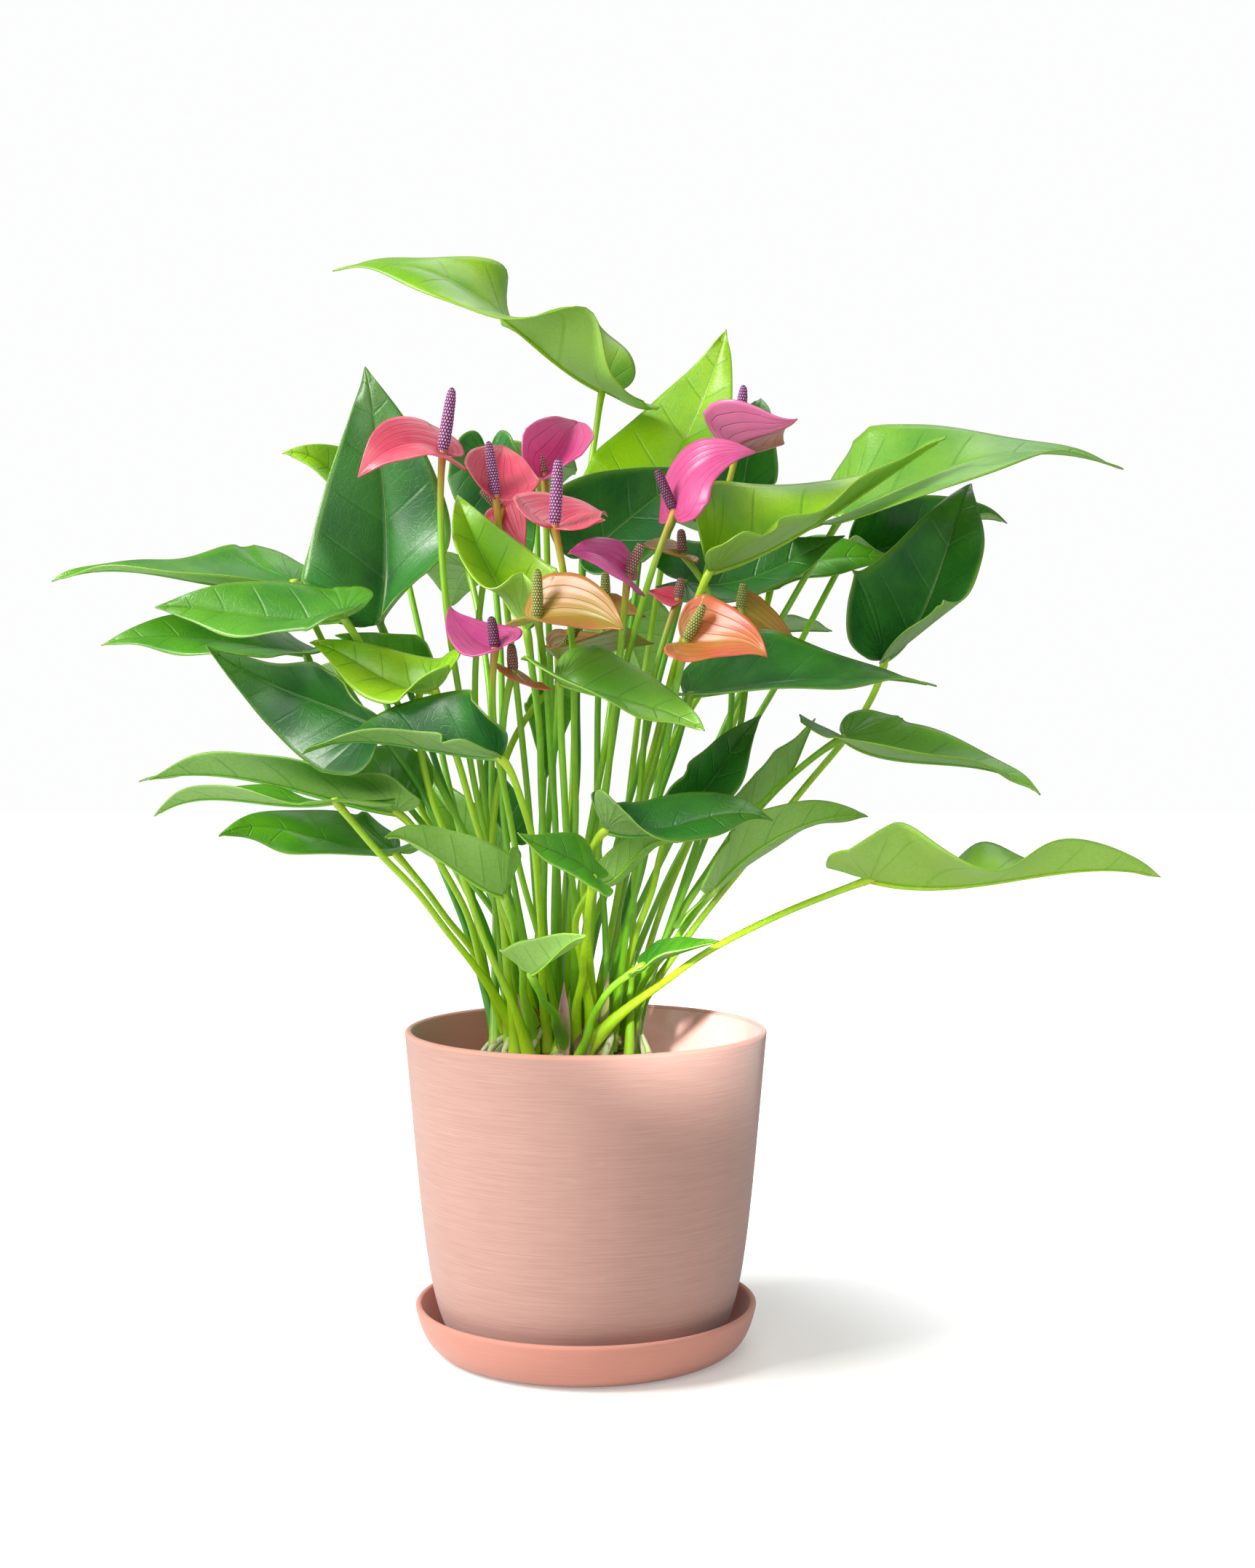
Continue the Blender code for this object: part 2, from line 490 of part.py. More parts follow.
def build_crown():
    """The rootstock: a low, flat-topped cushion that all the stems stand on."""
    outer = CROWN_TOP_RADIUS + CROWN_SLOPE
    profile = [(0.0, 0.0), (outer * 0.9, 0.0), (outer, CROWN_HEIGHT * 0.3),
               (CROWN_TOP_RADIUS, CROWN_HEIGHT), (0.0, CROWN_HEIGHT)]
    bark = material("rootstock", (0.25, 0.20, 0.09), 0.85)
    turned("rootstock", profile, CROWN_Z, bark, centre=CROWN_SHIFT)


# ---------------------------------------------------------------- stems

def stem_line(spot, base, lead, count):
    """From the rootstock up to base, leaving base along lead. The foot stands upright."""
    radius, turn = FOOT_SPACING * math.sqrt(spot), spot * GOLDEN_TURN
    foot = np.array((radius * math.cos(turn), radius * math.sin(turn), CLEARANCE))
    low, base = foot + (0.0, 0.0, FOOT_HEIGHT), np.array(base)
    reach = np.linalg.norm(base - low)
    straight = (base - low) / reach
    start = low + 0.3 * reach * unit(straight + (0.0, 0.0, 0.5))
    end = base - 0.3 * reach * straight if lead is None else base + lead
    return np.vstack([foot, bezier(low, start, end, base, np.linspace(0, 1, count))])


def bar(points, radii, sides):
    """A round bar through the points, closed at both ends, as a bmesh."""
    shape = bmesh.new()
    along = np.gradient(points, axis=0)
    across = np.array((1.0, 0.0, 0.0))
    rings = []
    for centre, direction, radius in zip(points, along, radii):
        direction = unit(direction)
        across = unit(across - (across @ direction) * direction)
        other = np.cross(direction, across)
        ring = []
        for step in range(sides):
            turn = math.tau * step / sides
            spoke = math.cos(turn) * across + math.sin(turn) * other
            ring.append(shape.verts.new(centre + radius * spoke))
        rings.append(ring)
    for lower, upper in zip(rings, rings[1:]):
        for step in range(sides):
            after = (step + 1) % sides
            shape.faces.new((lower[step], lower[after], upper[after], upper[step]))
    shape.faces.new(rings[0][::-1])
    shape.faces.new(rings[-1])
    return shape


def stalk_of(leaf):
    points = stem_line(leaf["spot"], leaf["base"], leaf.get("lead"), STALK_STEPS)
    radii = np.interp(np.linspace(0, 1, len(points)), (0, 0.15, 0.85, 0.95, 1.0),
                      (FOOT_RADIUS, STALK_RADIUS, STALK_RADIUS, KNEE_RADIUS, KNEE_RADIUS * 0.8))
    return bar(points, radii, STALK_SIDES)


# ---------------------------------------------------------------- blades

def blade_surface(base, tip, faces, width, rise=(0, 0), sway=(0, 0), fold=(20, 15), curl=0.0,
                  twist=0.0, lobe=0.2, lift=0.0):
    """Points of a blade's middle surface: [half][from notch to tip][from midrib to margin]."""
    base, tip = np.array(base), np.array(tip)
    length = np.linalg.norm(tip - base)
    ahead = (tip - base) / length
    up = unit(faces - (faces @ ahead) * ahead)
    left = np.cross(up, ahead)
    low = base + length * (0.33 * ahead + rise[0] * up + sway[0] * left)
    high = base + length * (0.67 * ahead + rise[1] * up + sway[1] * left)

    forward, out = np.array(HALF_OUTLINE).T
    forward = np.where(forward < 0, forward * lobe, forward)
    start = np.maximum(0, forward - VEIN_LEAN * out)
    share = np.linspace(0, 1, BLADE_COLUMNS + 1)
    along = start[:, None] + (forward - start)[:, None] * share ** 1.2
    across = (out[:, None] * share)[..., None]

    t = np.maximum(along, 0)
    rib = bezier(base, low, high, tip, t)
    t = t[..., None]
    ahead = (1 - t) ** 2 * (low - base) + 2 * t * (1 - t) * (high - low) + t * t * (tip - high)
    ahead /= np.linalg.norm(ahead, axis=-1, keepdims=True)
    normal = up - (ahead @ up)[..., None] * ahead
    normal /= np.linalg.norm(normal, axis=-1, keepdims=True)
    side = np.cross(normal, ahead)
    turn = math.radians(twist) * t
    normal, side = (normal * np.cos(turn) - side * np.sin(turn),
                    side * np.cos(turn) + normal * np.sin(turn))

    behind = np.minimum(along, 0)[..., None] * length
    rib = rib + behind * ahead - behind * lift * normal
    angle = np.radians(fold[0] + (fold[1] - fold[0]) * t)
    reach = across * width * length
    halves = []
    for hand in (1, -1):
        spread = reach * (np.cos(angle) * side * hand + np.sin(angle) * normal)
        halves.append(rib + spread - curl * across * reach * normal)
    return np.stack(halves)


BLADE_KEYS = ("base", "tip", "faces", "width", "rise", "sway", "fold", "curl", "twist", "lobe", "lift")


def blade_object(name, values, thickness, look, plant):
    """A blade with its thickness, one closed solid."""
    surface = blade_surface(**{key: values[key] for key in BLADE_KEYS if key in values})
    shape = bmesh.new()
    for hand, half in zip((1, -1), surface):
        corners = [[shape.verts.new(point) for point in row] for row in half]
        for row, after in zip(corners, corners[1:]):
            for column in range(BLADE_COLUMNS):
                face = (row[column], after[column], after[column + 1], row[column + 1])
                shape.faces.new(face[::-hand])
    made = new_object(name, shape, look, plant)
    wall = made.modifiers.new("blade_thickness", "SOLIDIFY")
    wall.thickness = thickness
    wall.offset = 0.0
    return made


# ---------------------------------------------------------------- leaves and flowers

def build_leaf(name, leaf, plant):
    look = material(name + "_green", GREENS[leaf["green"]], 0.38)
    made = blade_object(name, leaf, LEAF_THICKNESS, look, plant)
    stalk = helper(name + "_stalk", stalk_of(leaf), look, plant)
    combine(made, stalk, "UNION")


def flower_axis(flower, extra=0.0):
    """The stem and the spike above it, as one bar, thicker all round by extra."""
    stem = stem_line(flower["spot"], flower["base"], flower.get("lead"), STEM_STEPS)
    base, end = np.array(flower["base"]), np.array(flower["spike"])
    share = np.array((0.06, 0.14, 0.45, 0.80, 0.95, 1.0))
    spike = base + share[:, None] * (end - base)
    stout = np.array((0.70, 1.00, 1.00, 0.82, 0.60, 0.28)) * flower["spike_radius"]
    radii = np.concatenate([np.full(len(stem), STEM_RADIUS), stout])
    return bar(np.vstack([stem, spike]), radii + extra, STEM_SIDES)


def build_flower(name, flower, plant):
    bract = material(name + "_bract", BRACTS[flower["bract"]], 0.42)
    axis = material(name + "_spike", SPIKES[flower["spadix"]], 0.55)
    new_object(name + "_stem", flower_axis(flower), axis, plant)
    spathe = blade_object(name + "_spathe", flower, SPATHE_THICKNESS, bract, plant)
    room = helper(name + "_room", flower_axis(flower, CLEARANCE), bract, plant)
    combine(spathe, room, "DIFFERENCE")


def main():
    clear_scene()
    build_saucer()
    build_pot()
    build_soil()
    build_crown()
    plant = bpy.data.objects.new("plant", None)
    plant.location = (*CROWN_SHIFT, CROWN_Z + CROWN_HEIGHT)
    bpy.context.scene.collection.objects.link(plant)
    for name, leaf in LEAVES.items():
        build_leaf(name, leaf, plant)
    for name, flower in FLOWERS.items():
        build_flower(name, flower, plant)


main()
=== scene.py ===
# %% [markdown]
# # A potted anthurium
# An anthurium is a clump of leaf stalks and flower stems that all rise from one short rootstock.
# Each stalk carries a single heart-shaped blade. What looks like a petal is the spathe, a coloured
# leaf, and the true flowers are the tiny bumps on the spike above it. The clump stands in a
# brushed clay pot on a smoother saucer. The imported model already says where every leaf, flower
# and pot wall is, so this lesson only makes them fine and gives them their finish.

# %% Load the model that the looks are built round
import math
import random

import bpy
import numpy as np
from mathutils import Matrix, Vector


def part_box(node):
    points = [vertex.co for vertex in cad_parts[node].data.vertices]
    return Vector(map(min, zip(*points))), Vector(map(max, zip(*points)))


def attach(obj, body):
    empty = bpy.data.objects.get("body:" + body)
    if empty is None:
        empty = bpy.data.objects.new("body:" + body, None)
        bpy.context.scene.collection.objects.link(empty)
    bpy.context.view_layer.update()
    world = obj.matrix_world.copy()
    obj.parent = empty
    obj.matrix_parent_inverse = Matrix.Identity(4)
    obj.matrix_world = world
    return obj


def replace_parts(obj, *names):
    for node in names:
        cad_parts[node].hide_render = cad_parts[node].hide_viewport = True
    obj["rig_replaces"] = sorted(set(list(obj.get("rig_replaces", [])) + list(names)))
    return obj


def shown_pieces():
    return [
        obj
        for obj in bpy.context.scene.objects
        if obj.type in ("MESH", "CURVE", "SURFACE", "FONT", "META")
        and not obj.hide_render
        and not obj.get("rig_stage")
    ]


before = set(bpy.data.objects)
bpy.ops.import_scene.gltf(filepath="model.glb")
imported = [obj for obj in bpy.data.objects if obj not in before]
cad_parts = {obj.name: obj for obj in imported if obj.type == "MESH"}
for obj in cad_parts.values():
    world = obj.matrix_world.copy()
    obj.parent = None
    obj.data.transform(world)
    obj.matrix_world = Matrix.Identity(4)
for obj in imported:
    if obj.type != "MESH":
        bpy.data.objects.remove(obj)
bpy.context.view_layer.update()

print("nodes:", len(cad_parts))

# %% [markdown]
# ## Helpers for shader nodes
# A material is a small network. These helpers add one node each, so that a pattern reads like a
# recipe: what goes in, what is done to it, what comes out. The last three finish a shader: one
# gives it relief, one sets its plain numbers, and one lets light into soft flesh.

# %% Shader helpers


def add(tree, kind, feeds=(), **settings):
    """A node with settings, fed by (socket, value or output) pairs."""
    made = tree.nodes.new(kind)
    for key, value in settings.items():
        setattr(made, key, value)
    for socket, value in feeds:
        if isinstance(value, bpy.types.NodeSocket):
            tree.links.new(value, made.inputs[socket])
        else:
            made.inputs[socket].default_value = value
    return made


def calc(tree, operation, *values):
    return add(tree, "ShaderNodeMath", enumerate(values), operation=operation).outputs[0]


def ramp(tree, value, low, high, out_low=0.0, out_high=1.0):
    """value taken from low..high to out_low..out_high, smoothly and without overshoot."""
    feeds = (("Value", value), ("From Min", low), ("From Max", high),
             ("To Min", out_low), ("To Max", out_high))
    node = add(tree, "ShaderNodeMapRange", feeds, interpolation_type="SMOOTHSTEP")
    return node.outputs["Result"]


def mix(tree, share, first, second):
    """Blends two colours."""
    feeds = ((0, share), (6, first), (7, second))
    return add(tree, "ShaderNodeMix", feeds, data_type="RGBA").outputs[2]


def mottle(tree, coords, scale, detail=3.0, stretch=(1.0, 1.0, 1.0)):
    """Cloudy noise from 0 to 1 in metres, stretched along the axes."""
    placed = add(tree, "ShaderNodeMapping", (("Vector", coords), ("Scale", stretch)))
    feeds = (("Vector", placed.outputs[0]), ("Scale", scale), ("Detail", detail))
    return add(tree, "ShaderNodeTexNoise", feeds).outputs["Fac"]


def new_group(name, inputs, outputs):
    """An empty node group with float inputs and outputs, and its two end nodes."""
    tree = bpy.data.node_groups.new(name, "ShaderNodeTree")
    for label, value in inputs.items():
        socket = tree.interface.new_socket(label, in_out="INPUT", socket_type="NodeSocketFloat")
        socket.default_value = value
    for label in outputs:
        tree.interface.new_socket(label, in_out="OUTPUT", socket_type="NodeSocketFloat")
    return tree, tree.nodes.new("NodeGroupInput"), tree.nodes.new("NodeGroupOutput")


def new_material(name):
    """A material, its tree and its shader."""
    made = bpy.data.materials.new(name)
    made.use_nodes = True
    return made, made.node_tree, made.node_tree.nodes["Principled BSDF"]


def relief(tree, shader, height, depth, strength=1.0, invert=False):
    """Makes the surface look raised by up to depth metres where height is 1."""
    feeds = (("Height", height), ("Distance", depth), ("Strength", strength))
    bump = add(tree, "ShaderNodeBump", feeds, invert=invert)
    tree.links.new(bump.outputs["Normal"], shader.inputs["Normal"])


def settle(shader, **values):
    """Sets numbers that are the same all over, on the shader's own sockets."""
    for key, value in values.items():
        shader.inputs[key.replace("_", " ")].default_value = value


def fleshy(shader, weight, radius):
    """Lets some light through a soft skin. The radius is how far red, green and blue travel."""
    settle(shader, Subsurface_Weight=weight, Subsurface_Radius=radius, Subsurface_Scale=1.0)


def use_group(tree, group, **values):
    feeds = [(key.replace("_", " "), value) for key, value in values.items()]
    return add(tree, "ShaderNodeGroup", feeds, node_tree=group).outputs


def srgb(red, green, blue):
    """A colour named as a designer's palette gives it, 0 to 255, as the shader wants it."""
    shares = [channel / 255 for channel in (red, green, blue)]
    linear = [c / 12.92 if c <= 0.04045 else ((c + 0.055) / 1.055) ** 2.4 for c in shares]
    return (*linear, 1.0)


def shade(colour, amount):
    """The colour, lighter above 1 and darker below."""
    return (*[min(1.0, channel * amount) for channel in colour[:3]], 1.0)


print("helpers ready")

# %% [markdown]
# ## The view, the light and the floor
# A plant like this is shown on a white sweep, in the broad light of a window or a large softbox.
# The world lights everything evenly. One big area light from the front left gives the leaves their
# sheen and the pot its soft shading, and weaker ones from the front, the back and low on the left
# keep the shadows open. A narrow beam reaches down between the stalks into the pot. The floor
# carries painted light: a glow that only the camera sees, weak by the pot and full farther out,
# which whitens the far part of the pot's shadow so that the floor meets the backdrop.

# %% Camera
CAMERA_PLACE = (0.023, -1.203, 0.356)
CAMERA_TILT = 2.05          # degrees below level
bpy.ops.object.camera_add(location=CAMERA_PLACE, rotation=(math.radians(90 - CAMERA_TILT), 0, 0))
camera = bpy.context.object
camera.name = "camera"
camera.data.sensor_width = 36.0
camera.data.lens = 50.0
bpy.context.scene.camera = camera
print("camera at", CAMERA_PLACE)

# %% World and lights
scene = bpy.context.scene
scene.view_settings.view_transform = "Standard"
world = bpy.data.worlds.new("studio")
scene.world = world
world.use_nodes = True
sky = world.node_tree
ambient = sky.nodes["Background"]
settle(ambient, Color=(0.93, 0.97, 1.0, 1.0), Strength=0.36)
backdrop = add(sky, "ShaderNodeBackground", (("Color", (0.985, 0.987, 0.99, 1.0)),))
seen = add(sky, "ShaderNodeLightPath").outputs["Is Camera Ray"]
blend = add(sky, "ShaderNodeMixShader", ((0, seen), (1, ambient.outputs["Background"]),
                                         (2, backdrop.outputs["Background"])))
sky.links.new(blend.outputs["Shader"], sky.nodes["World Output"].inputs["Surface"])


def lamp_at(name, kind, place, target, power, colour=(1.0, 1.0, 1.0)):
    """A light at place that looks at target."""
    bpy.ops.object.light_add(type=kind, location=place)
    lamp = bpy.context.object
    lamp.name = name
    lamp.data.energy = power
    lamp.data.color = colour
    away = np.array(place) - np.array(target)
    turn = math.atan2(away[0], -away[1])
    tip = math.atan2(math.hypot(away[0], away[1]), away[2])
    lamp.rotation_euler = (tip, 0, turn)
    return lamp.data


lamp_at("key", "AREA", (-1.9, -0.9, 2.0), (0, 0, 0.25), 84, (1.0, 0.99, 0.97)).size = 1.1
lamp_at("fill", "AREA", (-0.2, -2.6, 1.3), (0, 0, 0.30), 24).size = 1.6
lamp_at("top_back", "AREA", (0.4, 1.3, 2.2), (0, 0, 0.4), 8).size = 1.2
lamp_at("side", "AREA", (-2.2, -0.7, 0.80), (0.05, 0.02, 0.18), 9, (1.0, 0.99, 0.98)).size = 0.6
beam = lamp_at("beam_into_pot", "SPOT", (-0.16, -1.05, 0.52), (0.082, 0.045, 0.166), 260)
beam.spot_size = math.radians(5.0)
beam.spot_blend = 1.0
beam.shadow_soft_size = 0.04

# %% Floor
FLOOR_SIZE = 12.0
GLOW_REACH = (0.12, 0.29)   # from the pot's axis, where the floor's glow begins and is full
bpy.ops.object.select_all(action="DESELECT")
bpy.ops.mesh.primitive_plane_add(size=FLOOR_SIZE, location=(0, 0, 0))
floor = bpy.context.object
floor.name = "floor"
floor_paint, tree, shader = new_material("white_sweep")
settle(shader, Base_Color=(0.80, 0.79, 0.785, 1.0), Roughness=0.75, Specular_IOR_Level=0.2)
floor.data.materials.append(floor_paint)
# Painted light: a glow that only camera rays see, weak by the pot and full from GLOW_REACH on.
spot = add(tree, "ShaderNodeTexCoord").outputs["Object"]
away = add(tree, "ShaderNodeVectorMath", ((0, spot),), operation="LENGTH").outputs["Value"]
glow = mix(tree, ramp(tree, away, *GLOW_REACH), (0.27, 0.265, 0.25, 1.0), (0.80, 0.81, 0.82, 1.0))
tree.links.new(glow, shader.inputs["Emission Color"])
seen = add(tree, "ShaderNodeLightPath").outputs["Is Camera Ray"]
tree.links.new(seen, shader.inputs["Emission Strength"])
floor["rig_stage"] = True
print("floor:", FLOOR_SIZE, "m across")

# %% [markdown]
# ## The leaf pattern
# A blade has a pale midrib, side veins that leave it in slanting rows and run together just inside
# the margin, a fine net between them and a thin pale edge. The blades below carry a UV map whose
# first number runs across, from margin to margin, and whose second follows the rows of side veins.
# So the pattern is one node group on that map, and bends with every leaf.

# %% Leaf pattern group
VEIN_ROWS = 13.0


def make_leaf_pattern():
    tree, given, result = new_group(
        "leaf_pattern", {"Vein Count": VEIN_ROWS},
        ("Side Veins", "Midrib", "Margin", "Tip", "Net", "Cloud", "Height"))
    place = add(tree, "ShaderNodeTexCoord")
    split = add(tree, "ShaderNodeSeparateXYZ", ((0, place.outputs["UV"]),)).outputs
    out = calc(tree, "ABSOLUTE", calc(tree, "MULTIPLY_ADD", split["X"], 2.0, -1.0))
    row = calc(tree, "MULTIPLY", split["Y"], given.outputs["Vein Count"])
    apart = calc(tree, "PINGPONG", row, 0.5)
    line = ramp(tree, apart, 0.0, 0.060, 1.0, 0.0)
    faded = calc(tree, "MULTIPLY", line, ramp(tree, out, 0.72, 0.95, 1.0, 0.0))
    veins = calc(tree, "MULTIPLY", faded, ramp(tree, out, 0.0, 0.10))
    rib_width = calc(tree, "MULTIPLY_ADD", split["Y"], -0.020, 0.032)
    rib = ramp(tree, calc(tree, "DIVIDE", out, rib_width), 0.35, 1.0, 1.0, 0.0)
    edge = ramp(tree, out, 0.984, 0.996)
    tip = calc(tree, "MAXIMUM", ramp(tree, split["Y"], 0.68, 0.98), ramp(tree, out, 0.86, 1.0))
    coords = place.outputs["Object"]
    cells = add(tree, "ShaderNodeTexVoronoi", (("Vector", coords), ("Scale", 260.0)),
                feature="DISTANCE_TO_EDGE").outputs["Distance"]
    net = ramp(tree, cells, 0.0, 0.09, 1.0, 0.0)
    cloud = mottle(tree, coords, 24.0)
    grain = mottle(tree, coords, 900.0, 2.0)
    height = calc(tree, "MULTIPLY_ADD", veins, -0.9, calc(tree, "MULTIPLY", grain, 0.22))
    height = calc(tree, "MULTIPLY_ADD", net, -0.16, height)
    height = calc(tree, "MULTIPLY_ADD", rib, -1.0, height)
    for label, value in (("Side Veins", veins), ("Midrib", rib), ("Margin", edge), ("Tip", tip),
                         ("Net", net), ("Cloud", cloud), ("Height", height)):
        tree.links.new(value, result.inputs[label])
    return tree


LEAF_PATTERN = make_leaf_pattern()
print("leaf pattern:", len(LEAF_PATTERN.nodes), "nodes")

# %% [markdown]
# ## Leaf finishes
# The upper side is waxy: a clear coat over green, with soft reflections. Old leaves are deep
# green, young ones lime. The underside has no wax, is paler and greyer, and its veins stand out.
# Cells let some light through, which a little subsurface scattering gives.

# %% Leaf materials
GREENS = {
    # body, second green in the clouds, veins, vein strength, roughness
    "lime": (srgb(146, 194, 8), srgb(112, 172, 8), srgb(84, 142, 14), 0.30, 0.28),
    "light": (srgb(116, 172, 46), srgb(88, 152, 34), srgb(70, 126, 38), 0.30, 0.30),
    "mid": (srgb(82, 152, 26), srgb(50, 122, 20), srgb(100, 160, 44), 0.18, 0.28),
    "deep": (srgb(46, 116, 36), srgb(18, 78, 26), srgb(70, 128, 50), 0.16, 0.28),
}
MIDRIB = srgb(150, 192, 70)
EDGE = srgb(160, 190, 76)
YOUNG = srgb(132, 176, 16)
UNDERSIDE = srgb(160, 200, 104)
LEAF_GLOW = (0.004, 0.008, 0.002)   # metres that red, green and blue travel inside a leaf


def upper_side(name, body, second, veins, strength, rough):
    made, tree, shader = new_material(name)
    pattern = use_group(tree, LEAF_PATTERN, Vein_Count=VEIN_ROWS)
    colour = mix(tree, ramp(tree, pattern["Cloud"], 0.35, 0.68), body, second)
    colour = mix(tree, calc(tree, "MULTIPLY", pattern["Net"], 0.10), colour, veins)
    colour = mix(tree, calc(tree, "MULTIPLY", pattern["Side Veins"], strength), colour, veins)
    colour = mix(tree, calc(tree, "MULTIPLY", pattern["Midrib"], 0.60), colour, MIDRIB)
    colour = mix(tree, calc(tree, "MULTIPLY", pattern["Tip"], 0.22), colour, YOUNG)
    colour = mix(tree, calc(tree, "MULTIPLY", pattern["Margin"], 0.30), colour, EDGE)
    tree.links.new(colour, shader.inputs["Base Color"])
    tree.links.new(ramp(tree, pattern["Cloud"], 0.2, 0.8, rough + 0.06, rough + 0.20),
                   shader.inputs["Roughness"])
    relief(tree, shader, pattern["Height"], 0.0005, 0.75)
    settle(shader, Specular_IOR_Level=0.40, Coat_Weight=0.30, Coat_Roughness=0.24)
    fleshy(shader, 0.12, LEAF_GLOW)
    return made


def under_side(name, body, second):
    made, tree, shader = new_material(name)
    pattern = use_group(tree, LEAF_PATTERN, Vein_Count=VEIN_ROWS)
    pale = mix(tree, 0.60, body, UNDERSIDE)
    colour = mix(tree, calc(tree, "MULTIPLY", pattern["Cloud"], 0.35), pale, second)
    colour = mix(tree, calc(tree, "MULTIPLY", pattern["Net"], 0.22), colour, second)
    colour = mix(tree, calc(tree, "MULTIPLY", pattern["Side Veins"], 0.45), colour, second)
    colour = mix(tree, calc(tree, "MULTIPLY", pattern["Margin"], 0.35), colour, EDGE)
    tree.links.new(colour, shader.inputs["Base Color"])
    relief(tree, shader, pattern["Height"], 0.0004, 0.6, invert=True)
    settle(shader, Roughness=0.55)
    fleshy(shader, 0.12, LEAF_GLOW)
    return made


UPPER = {name: upper_side("leaf_" + name, *look) for name, look in GREENS.items()}
UNDER = {name: under_side("underside_" + name, *look[:2]) for name, look in GREENS.items()}
print("leaf finishes:", sorted(UPPER))

# %% [markdown]
# ## Stalks
# A stalk is smooth and juicy green. It is paler towards the foot, where light hardly reaches it,
# and it swells into a yellowish knee just below the blade. The tubes carry a UV map whose second
# number runs from the foot to the top. Flower stems turn rusty where they meet the spathe.

# %% Stalk materials
def stalk_finish(name, foot, body, top):
    made, tree, shader = new_material(name)
    place = add(tree, "ShaderNodeTexCoord")
    along = add(tree, "ShaderNodeSeparateXYZ", ((0, place.outputs["UV"]),)).outputs["Y"]
    streaks = mottle(tree, place.outputs["Object"], 420.0, 2.0, (1.0, 1.0, 0.06))
    clouds = mottle(tree, place.outputs["Object"], 34.0, 2.0)
    colour = mix(tree, ramp(tree, along, 0.0, 0.16), foot, body)
    colour = mix(tree, ramp(tree, along, 0.84, 0.98), colour, top)
    colour = mix(tree, ramp(tree, clouds, 0.42, 0.80, 0.0, 0.45), colour, shade(body, 0.62))
    colour = mix(tree, ramp(tree, streaks, 0.45, 0.75, 0.0, 0.30), colour, shade(body, 1.35))
    tree.links.new(colour, shader.inputs["Base Color"])
    relief(tree, shader, streaks, 0.0002, 0.5)
    settle(shader, Roughness=0.36, Coat_Weight=0.2, Coat_Roughness=0.25)
    fleshy(shader, 0.10, (0.003, 0.006, 0.002))
    return made


STALK_GREENS = {
    # foot, body, top
    "lime": ((196, 222, 60), (166, 212, 24), (186, 216, 40)),
    "light": ((180, 216, 60), (134, 196, 34), (160, 204, 46)),
    "mid": ((168, 208, 52), (106, 178, 28), (144, 194, 40)),
    "deep": ((152, 200, 48), (76, 154, 28), (124, 180, 40)),
}
STEM_GREENS = {
    "coral": ((180, 216, 56), (142, 198, 30), (190, 120, 44)),
    "olive": ((168, 210, 52), (120, 186, 30), (150, 170, 46)),
}
STALKS = {name: stalk_finish("stalk_" + name, *(srgb(*part) for part in look))
          for name, look in STALK_GREENS.items()}
STEMS = {name: stalk_finish("stem_" + name, *(srgb(*part) for part in look))
         for name, look in STEM_GREENS.items()}
print("stalk finishes:", sorted(STALKS) + sorted(STEMS))

# %% [markdown]
# ## Spathes
# A spathe is a small waxy leaf in flower colours. A few veins run the long way from the spike to
# the tip, the colour is deepest along the middle and fades towards the margin, and the back is
# paler. Again one group draws the pattern, and each colour is a material of its own.

# %% Spathe pattern group
def make_spathe_pattern():
    tree, given, result = new_group("spathe_pattern", {"Vein Count": 4.0},
                                    ("Veins", "Fade", "Cloud", "Height"))
    place = add(tree, "ShaderNodeTexCoord")
    split = add(tree, "ShaderNodeSeparateXYZ", ((0, place.outputs["UV"]),)).outputs
    out = calc(tree, "ABSOLUTE", calc(tree, "MULTIPLY_ADD", split["X"], 2.0, -1.0))
    coords = place.outputs["Object"]
    waver = calc(tree, "MULTIPLY_ADD", mottle(tree, coords, 45.0, 1.0), 0.10, -0.05)
    ridge = calc(tree, "MULTIPLY", calc(tree, "ADD", out, waver), given.outputs["Vein Count"])
    line = ramp(tree, calc(tree, "PINGPONG", ridge, 0.5), 0.0, 0.075, 1.0, 0.0)
    veins = calc(tree, "MULTIPLY", line, ramp(tree, out, 0.85, 0.97, 1.0, 0.0))
    outer = calc(tree, "MULTIPLY", out, 0.5)
    fade = ramp(tree, calc(tree, "MULTIPLY_ADD", split["Y"], 0.5, outer), 0.15, 0.85)
    streaks = mottle(tree, coords, 130.0, 4.0)
    cloud = calc(tree, "MULTIPLY_ADD", streaks, 0.45, calc(tree, "MULTIPLY",
                 mottle(tree, coords, 42.0), 0.55))
    height = calc(tree, "MULTIPLY_ADD", veins, -1.0, calc(tree, "MULTIPLY", streaks, 0.5))
    for label, value in (("Veins", veins), ("Fade", fade), ("Cloud", cloud), ("Height", height)):
        tree.links.new(value, result.inputs[label])
    return tree


SPATHE_PATTERN = make_spathe_pattern()
print("spathe pattern:", len(SPATHE_PATTERN.nodes), "nodes")

# %% Spathe materials
BRACTS = {
    # middle, margin, veins, back
    "coral": (srgb(208, 46, 82), srgb(220, 96, 112), srgb(150, 26, 54), srgb(214, 116, 100)),
    "pink": (srgb(196, 56, 122), srgb(210, 90, 142), srgb(128, 28, 84), srgb(216, 110, 156)),
    "magenta": (srgb(176, 46, 118), srgb(196, 80, 138), srgb(108, 22, 78), srgb(208, 106, 150)),
    "olive": (srgb(142, 138, 34), srgb(172, 106, 50), srgb(104, 90, 28), srgb(146, 152, 54)),
    "peach": (srgb(170, 130, 46), srgb(200, 82, 56), srgb(130, 60, 36), srgb(178, 132, 62)),
}


